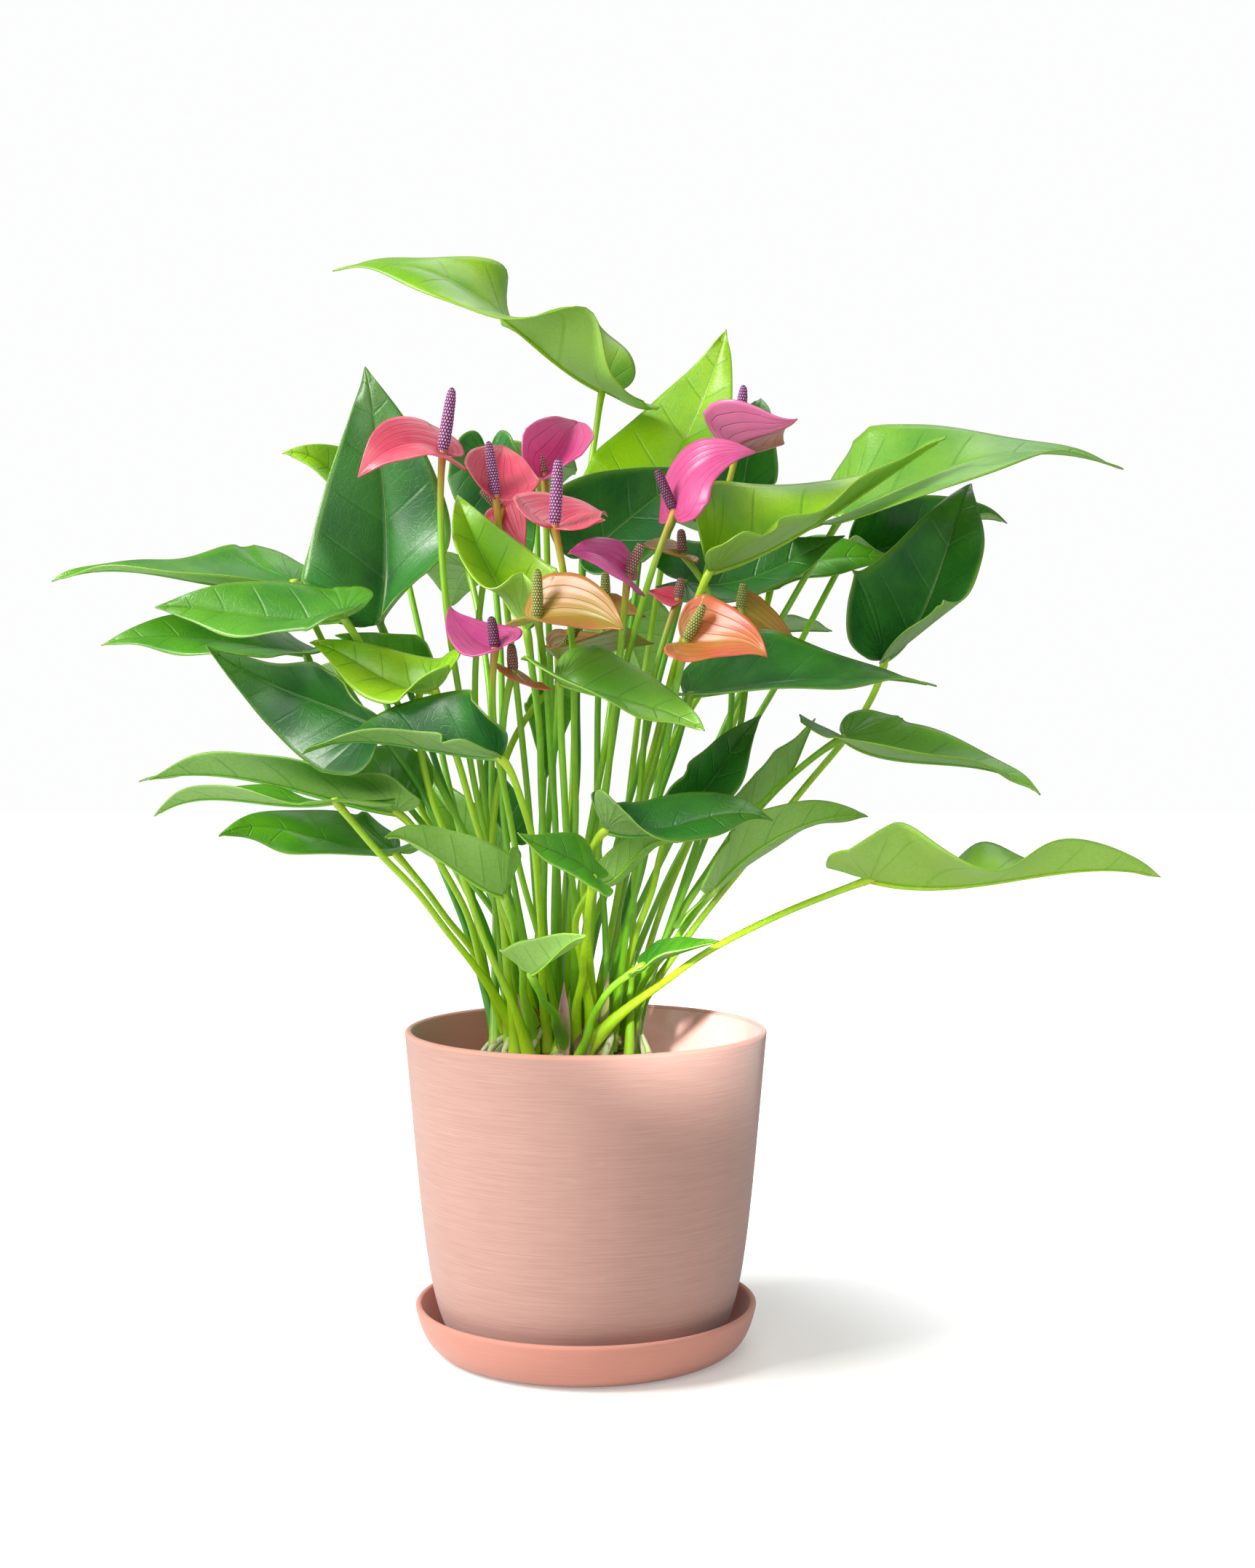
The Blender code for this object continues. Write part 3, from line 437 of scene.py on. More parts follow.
def spathe_finish(name, middle, margin, veins):
    made, tree, shader = new_material(name)
    pattern = use_group(tree, SPATHE_PATTERN, Vein_Count=4.0)
    share = calc(tree, "MULTIPLY_ADD", pattern["Fade"], 0.65,
                 ramp(tree, pattern["Cloud"], 0.40, 0.62, 0.0, 0.35))
    colour = mix(tree, share, middle, margin)
    colour = mix(tree, calc(tree, "MULTIPLY", pattern["Veins"], 0.42), colour, veins)
    tree.links.new(colour, shader.inputs["Base Color"])
    relief(tree, shader, pattern["Height"], 0.0003, 0.7)
    settle(shader, Roughness=0.38, Coat_Weight=0.12, Coat_Roughness=0.2)
    fleshy(shader, 0.15, (0.006, 0.003, 0.003))
    return made


FRONTS = {name: spathe_finish("spathe_" + name, *look[:3]) for name, look in BRACTS.items()}
BACKS = {name: spathe_finish("spathe_back_" + name, look[3], shade(look[3], 1.08), look[2])
         for name, look in BRACTS.items()}
print("spathe finishes:", sorted(FRONTS))

# %% [markdown]
# ## Spikes
# Hundreds of tiny flowers cover a spike in spiral rows. Each is a real bump in the mesh below, and
# an attribute called bump says how high a point is on its bump. The material reads it, and puts
# the pale dot of the stigma on each crest and painted shade, a darker colour, in the grooves.

# %% Spike materials
SPIKES = {
    # grooves (painted shade), flanks, dots
    "purple": (srgb(76, 26, 70), srgb(122, 54, 108), srgb(222, 176, 206)),
    "dark": (srgb(46, 14, 38), srgb(84, 30, 64), srgb(150, 92, 124)),
    "brown": (srgb(86, 50, 46), srgb(128, 82, 72), srgb(196, 160, 138)),
    "green": (srgb(78, 92, 30), srgb(118, 130, 52), srgb(190, 184, 104)),
}


def spike_finish(name, groove, flank, dot):
    made, tree, shader = new_material(name)
    crest = add(tree, "ShaderNodeAttribute", attribute_name="bump").outputs["Fac"]
    coords = add(tree, "ShaderNodeTexCoord").outputs["Object"]
    # Painted shade: low on the bumps, in the grooves between them, the colour darkens to groove.
    colour = mix(tree, ramp(tree, crest, 0.15, 0.6), groove, flank)
    colour = mix(tree, ramp(tree, crest, 0.66, 0.86, 0.0, 0.9), colour, dot)
    colour = mix(tree, ramp(tree, mottle(tree, coords, 90.0), 0.45, 0.75, 0.0, 0.4), colour,
                 shade(flank, 1.3))
    tree.links.new(colour, shader.inputs["Base Color"])
    relief(tree, shader, mottle(tree, coords, 1500.0, 2.0), 0.0001, 0.5)
    settle(shader, Roughness=0.5)
    fleshy(shader, 0.1, (0.003, 0.002, 0.002))
    return made


SPIKE_LOOKS = {name: spike_finish("spike_" + name, *look) for name, look in SPIKES.items()}
print("spike finishes:", sorted(SPIKE_LOOKS))

# %% [markdown]
# ## Turning the clay
# A pot like this is pressed or thrown as one thick shell, and its outside is brushed while it still
# turns, which leaves fine level streaks. So it is modelled as it is made: the section of the wall
# is drawn once and spun round the axis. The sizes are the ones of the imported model.

# %% Pot and saucer sizes
GAP = 0.0003
POT_RADIUS = 0.100
POT_HEIGHT = 0.1725
POT_FOOT_RADIUS = 0.070
POT_WALL = 0.004
POT_FLOOR = 0.0055
DRAIN_RADIUS = 0.008
SAUCER_HEIGHT = 0.0262
SAUCER_FLOOR = 0.005
SAUCER_WALL = 0.0034
POT_BASE = SAUCER_FLOOR + GAP
RIM = POT_BASE + POT_HEIGHT
SOIL_DROP = 0.036           # from the rim down to the mix at the wall
SOIL_MOUND = 0.003          # how much higher the mix is in the middle
ROOTSTOCK_HEIGHT = 0.022
PLANT_SHIFT = -0.011        # the plant stands a little to the left in its pot
SOIL_TOP = RIM - SOIL_DROP
SOIL_MIDDLE = SOIL_TOP + SOIL_MOUND
PLANT = np.array((PLANT_SHIFT, 0.0, SOIL_MIDDLE + GAP + ROOTSTOCK_HEIGHT))
ROUND = 192                 # steps round the axis
WALL_ROWS = 40              # points up the outside of a wall


def bezier(a, b, c, d, t):
    t = np.asarray(t, float)[..., None]
    return (1 - t) ** 3 * a + 3 * t * (1 - t) ** 2 * b + 3 * t * t * (1 - t) * c + t ** 3 * d


def unit(vector):
    return vector / np.linalg.norm(vector)


def wall_section(foot, low, high, top, depth, floor, floor_round):
    """A vessel's wall as (radius, height) pairs: up the outside, over the lip, down the inside."""
    corners = (np.array(corner) for corner in (foot, low, high, top))
    outside = bezier(*corners, np.linspace(0, 1, WALL_ROWS))
    along = np.gradient(outside, axis=0)
    along /= np.linalg.norm(along, axis=1)[:, None]
    inside = outside + depth * np.stack([-along[:, 1], along[:, 0]], axis=1)
    inside = inside[inside[:, 1] > floor + floor_round / 2]
    middle, half = (outside[-1] + inside[-1]) / 2, (outside[-1] - inside[-1]) / 2
    over = np.array((-half[1], half[0]))
    lip = [middle + half * math.cos(a) + over * math.sin(a)
           for a in np.linspace(0, math.pi, 12)[1:-1]]
    corner, start = np.array((inside[0][0] - floor_round, floor)), inside[0]
    bend = bezier(start, start + (-0.0004, -0.0010), corner + (0.003, 0), corner,
                  np.linspace(0, 1, 8)[1:])
    foot_edge = outside[0] + np.array([(-0.0012, 0.0), (-0.0004, 0.0002)])
    return np.vstack([foot_edge, outside[1:], lip, inside[::-1], bend])


pot_section = wall_section((POT_FOOT_RADIUS, 0), (POT_FOOT_RADIUS + 0.018, 0.008),
                           (POT_RADIUS - 0.009, 0.070), (POT_RADIUS, POT_HEIGHT - POT_WALL / 2),
                           POT_WALL, POT_FLOOR, 0.006)
wall = pot_section[:WALL_ROWS + 2]
lip_clearance = 0.0085 + SAUCER_WALL
saucer_lip = np.interp(SAUCER_HEIGHT - POT_BASE, wall[:, 1], wall[:, 0]) + lip_clearance
saucer_foot = np.array((POT_FOOT_RADIUS + 0.004, 0.0))
saucer_top = np.array((saucer_lip, SAUCER_HEIGHT - SAUCER_WALL / 2))
reach = saucer_top - saucer_foot
saucer_section = wall_section(saucer_foot, saucer_foot + reach * (0.67, 0.04),
                              saucer_foot + reach * (0.86, 0.50), saucer_top,
                              SAUCER_WALL, SAUCER_FLOOR, 0.004)
print("pot section:", len(pot_section), "points; saucer lip radius:", round(float(saucer_lip), 4))

# %% Modelling helpers


def edit(made):
    """Puts one object in edit mode with all of it selected."""
    bpy.ops.object.select_all(action="DESELECT")
    made.select_set(True)
    bpy.context.view_layer.objects.active = made
    bpy.ops.object.mode_set(mode="EDIT")
    bpy.ops.mesh.select_all(action="SELECT")


def spun(name, section, height):
    """A closed section spun round the Z axis into a vessel."""
    bpy.ops.object.select_all(action="DESELECT")
    bpy.ops.mesh.primitive_circle_add(vertices=len(section), fill_type="NOTHING")
    made = bpy.context.object
    made.name = made.data.name = name
    ring = np.stack([section[:, 0], np.zeros(len(section)), section[:, 1] + height], axis=1)
    made.data.vertices.foreach_set("co", ring.ravel())
    edit(made)
    bpy.ops.mesh.spin(steps=ROUND, angle=math.tau, center=(0, 0, 0), axis=(0, 0, 1))
    bpy.ops.mesh.select_all(action="SELECT")
    bpy.ops.mesh.remove_doubles(threshold=1e-5)
    bpy.ops.mesh.delete_loose()
    bpy.ops.mesh.select_all(action="SELECT")
    bpy.ops.mesh.normals_make_consistent(inside=False)
    bpy.ops.object.mode_set(mode="OBJECT")
    bpy.ops.object.shade_smooth_by_angle(angle=math.radians(40))
    return made


def sheet(name, points, looks, bump=None):
    """A grid laid through rows and columns of points. Where they meet, they are merged."""
    rows, columns = points.shape[:2]
    bpy.ops.object.select_all(action="DESELECT")
    bpy.ops.mesh.primitive_grid_add(x_subdivisions=columns - 1, y_subdivisions=rows - 1)
    made = bpy.context.object
    made.name = made.data.name = name
    if len(made.data.vertices) != rows * columns:
        raise RuntimeError("the grid has another number of vertices")
    made.data.vertices.foreach_set("co", np.ascontiguousarray(points, float).ravel())
    if bump is not None:
        crest = made.data.attributes.new("bump", "FLOAT", "POINT")
        crest.data.foreach_set("value", bump.ravel().astype(np.float32))
    for look in looks:
        made.data.materials.append(look)
    edit(made)
    bpy.ops.mesh.remove_doubles(threshold=1e-5)
    bpy.ops.object.mode_set(mode="OBJECT")
    bpy.ops.object.shade_smooth()
    return made


def thicken(made, thickness, under=1):
    """Gives a sheet its thickness. Its back takes the next material."""
    wall = made.modifiers.new("thickness", "SOLIDIFY")
    wall.thickness = thickness
    wall.offset = 0.0
    wall.material_offset = under
    wall.use_even_offset = False
    bpy.ops.object.select_all(action="DESELECT")
    bpy.context.view_layer.objects.active = made
    made.select_set(True)
    bpy.ops.object.modifier_apply(modifier=wall.name)
    return made


def joined(name, parts):
    """Several objects made one, which takes the name."""
    bpy.ops.object.select_all(action="DESELECT")
    for part in parts:
        part.select_set(True)
    bpy.context.view_layer.objects.active = parts[0]
    if len(parts) > 1:
        bpy.ops.object.join()
    made = bpy.context.object
    made.name = made.data.name = name
    return made


def tube(name, line, radii, sides, looks):
    """A round bar along a line of points, closed to a point at both ends."""
    line = np.vstack([line[:1], line, line[-1:]])
    radii = np.concatenate([[0.0], radii, [0.0]])
    along = np.gradient(line, axis=0)
    along[0], along[-1] = along[1], along[-2]
    across = unit(np.array((1.0, 0.03, 0.02)))
    turns = np.linspace(0, math.tau, sides + 1)
    rings = []
    for centre, direction, radius in zip(line, along, radii):
        direction = unit(direction)
        across = unit(across - (across @ direction) * direction)
        other = np.cross(direction, across)
        spokes = np.outer(np.cos(turns), across) + np.outer(np.sin(turns), other)
        rings.append(centre + radius * spokes)
    return sheet(name, np.array(rings), looks)


def place(made, nodes, slot):
    """Declares a piece: what it rides on and the nodes it stands for. slot is not used."""
    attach(made, "root")
    if nodes:
        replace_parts(made, *nodes)
    return made


print("modelling helpers ready")

# %% [markdown]
# ## Clay
# The pot is dusty pink clay with a dry surface. Brush streaks run level round it, a few pores are
# left low on the wall, and its inside is plain, with painted light in pale patches on the right half
# of the inside wall, where light falls into the pot.
# The saucer is the same clay, smoother and a little redder, with a pale scuff on its wall.

# %% Clay materials


def clay(name, colour, redder, streak, inner=False):
    made, tree, shader = new_material(name)
    coords = add(tree, "ShaderNodeTexCoord").outputs["Object"]
    spot = add(tree, "ShaderNodeSeparateXYZ", ((0, coords),)).outputs
    fine = mottle(tree, coords, 5200.0, 2.0, (0.010, 0.010, 1.0))
    broad = mottle(tree, coords, 2100.0, 3.0, (0.010, 0.010, 1.0))
    cloud = mottle(tree, coords, 16.0, 3.0)
    lines = calc(tree, "MULTIPLY_ADD", fine, 0.6, calc(tree, "MULTIPLY", broad, 0.4))
    tone = ramp(tree, lines, 0.34, 0.66, -1.0, 1.0)
    tone = calc(tree, "MULTIPLY", tone, streak)
    tone = calc(tree, "MULTIPLY_ADD", cloud, 0.10, calc(tree, "ADD", tone, 0.45))
    body = mix(tree, tone, shade(redder, 0.80), shade(colour, 1.16))
    if inner:
        # Painted light: pale patches on the inside wall, from none at the axis to full 6 cm to the
        # right.
        light_patches = mottle(tree, coords, 26.0, 5.0)
        side = ramp(tree, spot["X"], 0.0, 0.06)
        painted_light = calc(tree, "MULTIPLY", ramp(tree, light_patches, 0.42, 0.62, 0.35, 0.90), side)
        body = mix(tree, painted_light, body, srgb(246, 208, 198))
    else:
        scuffs = mottle(tree, coords, 60.0, 4.0, (1.0, 1.0, 2.6))
        body = mix(tree, ramp(tree, scuffs, 0.66, 0.80, 0.0, 0.07), body, srgb(240, 205, 192))
    pores = add(tree, "ShaderNodeTexVoronoi", (("Vector", coords), ("Scale", 90.0)))
    chance = add(tree, "ShaderNodeSeparateColor", ((0, pores.outputs["Color"]),)).outputs[0]
    near = ramp(tree, pores.outputs["Distance"], 0.03, 0.07, 1.0, 0.0)
    pore = calc(tree, "MULTIPLY", near, ramp(tree, chance, 0.93, 0.95))
    body = mix(tree, calc(tree, "MULTIPLY", pore, 0.65), body, srgb(92, 50, 42))
    tree.links.new(body, shader.inputs["Base Color"])
    height = calc(tree, "MULTIPLY_ADD", lines, streak * 2.0, calc(tree, "MULTIPLY", pore, -1.0))
    height = calc(tree, "MULTIPLY_ADD", mottle(tree, coords, 1100.0, 2.0), 0.2, height)
    relief(tree, shader, height, 0.0003, 0.6)
    settle(shader, Roughness=0.72, Specular_IOR_Level=0.35, Sheen_Weight=0.25)
    return made


POT_OUTSIDE = clay("pot_clay_brushed", srgb(196, 156, 144), srgb(182, 136, 122), 0.16)
POT_LIP = clay("pot_clay_lip", srgb(218, 160, 144), srgb(204, 140, 122), 0.10)
POT_INSIDE = clay("pot_clay_inside", srgb(222, 160, 144), srgb(206, 140, 122), 0.06, inner=True)
SAUCER_CLAY = clay("saucer_clay_smooth", srgb(212, 148, 130), srgb(198, 130, 112), 0.07)

pot_ring = np.vstack([[(DRAIN_RADIUS, 0.0)], pot_section, [(DRAIN_RADIUS, POT_FLOOR)]])
pot = spun("fine_pot", pot_ring, POT_BASE)
for look in (POT_OUTSIDE, POT_LIP, POT_INSIDE):
    pot.data.materials.append(look)
for face in pot.data.polygons:
    outwards = face.normal.x * face.center.x + face.normal.y * face.center.y
    if face.center.z > RIM - 0.0030:
        face.material_index = 1
    elif outwards < 0 and face.center.z > POT_BASE + POT_FLOOR:
        face.material_index = 2
place(pot, ["pot"], "pot_clay")
saucer = spun("fine_saucer", np.vstack([[(0.0, 0.0)], saucer_section, [(0.0, SAUCER_FLOOR)]]), 0.0)
saucer.data.materials.append(SAUCER_CLAY)
place(saucer, ["saucer"], "saucer_clay")
print("pot faces:", len(pot.data.polygons), "saucer faces:", len(saucer.data.polygons))

# %% [markdown]
# ## The stems' course
# Every stem starts upright on the rootstock and leans towards its blade or spathe in one long
# curve. The rootstock's growing points spiral outwards, a golden angle apart, as leaves do on a
# short shoot, so the stems' feet never meet. The outermost ones come up out of the soil.

# %% Stem line and outline
GOLDEN_TURN = math.radians(137.5)
FOOT_SPACING = 0.0051
SOIL_SPOT = 45              # from here on a stem starts in the soil beside the rootstock


def stem_line(values, count):
    """Points from the foot up to the blade's base."""
    spot, base = values["spot"], np.array(values["base"])
    out, turn = FOOT_SPACING * math.sqrt(spot), spot * GOLDEN_TURN
    depth = GAP if spot < SOIL_SPOT else -0.012
    foot = np.array((out * math.cos(turn), out * math.sin(turn), depth))
    low = foot + (0.0, 0.0, 0.003)
    span = np.linalg.norm(base - low)
    straight = (base - low) / span
    start = low + 0.3 * span * unit(straight + (0.0, 0.0, 0.5))
    lead = values.get("lead")
    end = base - 0.3 * span * straight if lead is None else base + lead
    curve = bezier(low, start, end, base, np.linspace(0, 1, count))
    return PLANT + np.vstack([foot, curve])


def smooth_line(corners, steps):
    """A curve through all the corners, with steps points for each."""
    p = np.array(corners, float)
    q = np.vstack([2 * p[0] - p[1], p, 2 * p[-1] - p[-2]])
    t = (np.arange(steps) / steps)[:, None]
    spans = []
    for a, b, c, d in zip(q, q[1:], q[2:], q[3:]):
        spans.append(0.5 * (2 * b + (c - a) * t + (2 * a - 5 * b + 4 * c - d) * t ** 2
                            + (3 * b - 3 * c + d - a) * t ** 3))
    return np.vstack(spans + [p[-1:]])


# Half of a blade's outline from the notch, round the lobe, to the tip: how far along the midrib,
# in lobe lengths behind the stalk and blade lengths ahead of it, and how far out, in half widths.
OUTLINE = ((0.00, 0.00), (-0.62, 0.13), (-1.00, 0.40), (-0.70, 0.76), (0.00, 0.97), (0.15, 1.00),
           (0.36, 0.87), (0.58, 0.60), (0.78, 0.30), (0.92, 0.10), (1.00, 0.00))
VEIN_LEAN = 0.25            # how far a side vein runs forward on its way out, in blade lengths


def blade_points(values, dice, steps=9, columns=27, wave=0.028, puff=0.0005, groove=0.0006):
    """Points of a blade's middle surface and its midrib with the direction it faces."""
    base = np.array(values["base"]) + PLANT
    tip = np.array(values["tip"]) + PLANT
    rise, sway = values.get("rise", (0, 0)), values.get("sway", (0, 0))
    length = np.linalg.norm(tip - base)
    ahead = (tip - base) / length
    faces = np.array(values["faces"])
    up = unit(faces - (faces @ ahead) * ahead)
    left = np.cross(up, ahead)
    low = base + length * (0.33 * ahead + rise[0] * up + sway[0] * left)
    high = base + length * (0.67 * ahead + rise[1] * up + sway[1] * left)

    def rib_frame(t):
        """The midrib at t, the way the blade faces there, and the way to its left."""
        rib = bezier(base, low, high, tip, t)
        t = t[..., None]
        to = (1 - t) ** 2 * (low - base) + 2 * t * (1 - t) * (high - low) + t * t * (tip - high)
        to /= np.linalg.norm(to, axis=-1, keepdims=True)
        normal = up - (to @ up)[..., None] * to
        normal /= np.linalg.norm(normal, axis=-1, keepdims=True)
        side = np.cross(normal, to)
        turn = np.radians(values.get("twist", 0)) * t
        for extra, where, reach in values.get("rolls", ()):
            turn = turn + math.radians(extra) * np.exp(-((t - where) / reach) ** 2)
        return (rib, to, normal * np.cos(turn) - side * np.sin(turn),
                side * np.cos(turn) + normal * np.sin(turn))

    forward, out = smooth_line(OUTLINE, steps).T
    out = np.maximum(out, 0)
    forward = np.where(forward < 0, forward * values["lobe"], forward)
    start = np.maximum(0, forward - VEIN_LEAN * out)
    spread = np.linspace(1, -1, columns)
    share, hand = np.abs(spread), np.sign(spread)
    along = start[:, None] + (forward - start)[:, None] * share ** 1.2
    across = out[:, None] * share
    rib, to, normal, side = rib_frame(np.maximum(along, 0))
    behind = np.minimum(along, 0)[..., None] * length
    rib = rib + behind * to - behind * values.get("lift", 0) * normal
    fold = values["fold"]
    angle = np.radians(fold[0] + (fold[1] - fold[0]) * np.maximum(along, 0))[..., None]
    reach = (across * values["width"] * length)[..., None]
    outwards = np.cos(angle) * side * hand[:, None] + np.sin(angle) * normal
    facing = np.cos(angle) * normal - np.sin(angle) * side * hand[:, None]
    curl = values.get("curl", 0) * across[..., None] * reach
    points = rib + reach * outwards - curl * normal

    row = np.linspace(0, 1, len(out))[:, None]
    ends = np.sqrt(np.sin(np.pi * row).clip(0))
    ripple = np.zeros_like(along)
    for beats in (1.3, 2.6, 4.8):
        for which in (1, -1):
            phase, size = dice.uniform(0, math.tau), dice.uniform(0.5, 1.0)
            wavy = size * np.sin(math.tau * beats * row + phase) / math.sqrt(beats)
            ripple += wavy * (hand == which)
    height = wave * length * ripple * share ** 3 * ends
    quilt = np.abs(np.sin(np.pi * VEIN_ROWS * row)) ** 0.7
    height += puff * quilt * np.sin(np.pi * share.clip(0, 1) ** 0.8) * ends
    height -= groove * np.exp(-(share / 0.07) ** 2) * (1 - row * 0.6) * ends
    points = points + height[..., None] * facing
    spots = np.linspace(0, 0.96, 24)
    middle, _, faces_to, _ = rib_frame(spots)
    return points, middle, faces_to


print("a golden turn is", round(math.degrees(GOLDEN_TURN), 1), "degrees")

# %% [markdown]
# ## Where the leaves are
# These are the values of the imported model, measured from the middle of the rootstock's top. Each
# row is one leaf or flower, and a dash means none. spot counts the growing points, base is where
# stalk and blade meet, faces is the way the upper side looks, and width is half the blade's, in
# lengths. rise and sway bend the midrib, fold and curl shape the cross-section, twist turns the
# tip, lobe and lift shape what lies behind the stalk, and lead is how the stalk comes in.
# Fourteen small leaves and five young flowers that stand among the others are made only here.

# %% Leaf and flower values
POINTS = ("base", "tip", "lead", "spike")
WORDS = ("green", "bract", "spadix")


def read_rows(kind, fields, rows):
    """One set of named values for each row. Its points are given in millimetres."""
    table = {}
    for row in rows.strip().splitlines():
        number, *cells = row.split()
        values = table[f"{kind}_{number}"] = {}
        for field, cell in zip(fields.split(), cells):
            if field in WORDS:
                values[field] = cell
            elif cell != "-":
                scale = 1000 if field in POINTS else 1
                parts = [float(part) / scale for part in cell.split(",")]
                values[field] = parts if len(parts) > 1 else parts[0]
    return table


SHAPE = "spot base tip faces width rise sway fold curl twist lobe lift lead"
LEAVES = read_rows("leaf", SHAPE + " green", """
01 40 19,102,377 -137,70,441 0,-.5,.85 .35 .04,.36 .1,.14 25,0 .05 - .14 - -10,-10,-45 lime
02 32 45,73,306 93,107,414 -.4,-.8,.45 .34 -.12,-.04 .02,-.04 20,10 -.1 5 .16 - - lime
03 22 -96,-55,232 -106,-33,370 -.2,-.95,.1 .36 -.24,.12 0,-.08 50,0 .2 10 .18 .6 25,40,-70 deep
04 4 -17,-97,227 -54,-71,298 .45,-.75,.45 .34 -.2,.18 -.08,.18 65,20 -.25 -35 .14 .8 10,20,-70 lime
05 19 9,22,272 75,59,328 0,-.95,.35 .37 -.04,.1 .02,-.02 25,15 -.3 5 .12 .2 - deep
06 8 77,-58,259 208,-9,336 -.05,-.8,.6 .32 -.18,-.06 .04,.02 65,5 .15 -70 .12 .7 -20,10,-35 lime
07 24 155,36,296 311,19,321 -.35,-.55,.75 .34 .22,.22 -.18,.04 20,-5 -.1 -25 .12 - -25,0,-40 light
08 37 165,87,282 261,104,298 .05,-.9,.4 .36 -.24,.22 -.06,.1 60,35 - -25 .16 .5 - deep
09 42 174,-15,214 229,38,315 -.4,-.85,.3 .34 -.22,.18 -.06,-.06 50,15 -.25 20 .16 - -5,5,-45 deep
10 11 66,26,259 157,32,285 -.05,-.65,.75 .32 -.18,0 -.08,-.04 15,25 - 10 .18 -.2 - deep
11 13 67,-58,195 192,-89,199 -.05,-.4,.9 .36 .1,.08 -.18,.06 20,5 -.05 -10 .14 - - deep
12 21 149,-43,172 247,-80,143 0,-.25,.95 .34 -.06,.12 -.2,.16 20,10 -.05 -10 .14 -.1 -40,10,-20 light
13 44 159,-87,100 305,-98,102 -.05,-.2,1 .35 -.06,.12 -.14,-.06 20,20 -.05 -50 .12 -.3 -50,25,-20 lime
14 10 0,-123,201 71,-162,177 .35,-.5,.8 .35 .04,0 -.14,.18 45,5 .15 20 .12 .1 - light
15 26 58,-73,134 105,-44,184 .2,-.9,.4 .33 -.12,-.02 -.14,.04 65,20 - 10 .22 .2 - deep
16 29 101,-15,134 139,15,182 -.55,.25,.8 .34 -.2,-.04 -.14,.12 25,40 - -20 .12 - - light
17 18 23,-125,127 106,-125,132 0,0,1 .37 -.14,.18 .04,.02 55,0 .35 65 .14 .6 -20,15,-15 deep
18 34 78,-87,95 162,-46,130 -.15,.6,.75 .31 .2,.12 .16,-.16 5,20 -.1 -10 .22 .1 -15,15,-20 light
19 23 17,-138,105 -19,-155,128 -.3,-.5,.8 .36 .2,-.04 .04,.06 20,20 .15 -40 .16 .5 - mid
20 41 -27,-131,95 -80,-181,127 .1,.75,.7 .32 -.12,.28 .04,-.1 65,40 .15 25 .2 .8 5,10,-15 light
21 43 -92,-29,110 -179,-70,121 0,-.2,1 .33 -.04,.16 .18,-.2 35,-5 .15 -45 .14 -.2 25,15,-30 mid
22 33 -114,-102,141 -210,-81,132 -.25,.05,.95 .34 -.04,.18 .1,.06 0,35 - 5 .3 -.3 25,20,-35 mid
23 38 -87,-61,133 -224,-54,149 -.3,-.3,.9 .32 -.02,.12 -.06,-.08 60,10 .2 45 .12 - 25,-5,-15 mid
24 30 -95,-89,179 -183,-80,220 -.45,-.9,-.1 .34 -.24,-.2 .08,.16 40,20 -.05 - .22 .3 40,20,-55 deep
25 28 -28,-145,164 -128,-118,165 -.4,-.75,.55 .32 -.22,.24 -.12,-.04 65,15 - 70 .12 .1 20,20,-20 deep
26 20 -62,-115,197 -127,-98,221 .45,-.65,.6 .34 -.24,.1 - 50,0 .35 -25 .28 .3 - lime
27 9 -109,-102,233 -207,-90,239 .05,-.25,.95 .35 -.08,.04 0,-.02 35,15 .35 -60 .14 .1 40,70,-70 mid
28 35 -148,-9,257 -272,-42,255 -.3,-.35,.9 .34 -.06,.18 .14,.12 5,0 -.25 5 .14 -.3 30,20,-75 mid
29 3 -138,-37,217 -245,-46,221 .05,-.1,1 .32 .02,.12 -.02,.02 5,20 .1 -40 .14 .4 25,5,-65 mid
30 36 -15,-102,53 14,-146,77 0,.15,1 .35 -.06,.1 -.02,-.04 35,15 -.05 -15 .22 .4 5,10,-15 light
31 27 -40,58,95 -86,89,149 -.25,-.9,.4 .34 -.1,.24 .04,.06 55,10 .25 - .12 .4 - light
32 31 20,-116,100 60,-93,119 -.1,.5,.85 .36 -.1,.34 -.02,-.02 30,15 .1 -50 .12 -.1 -25,35,-20 light
""")
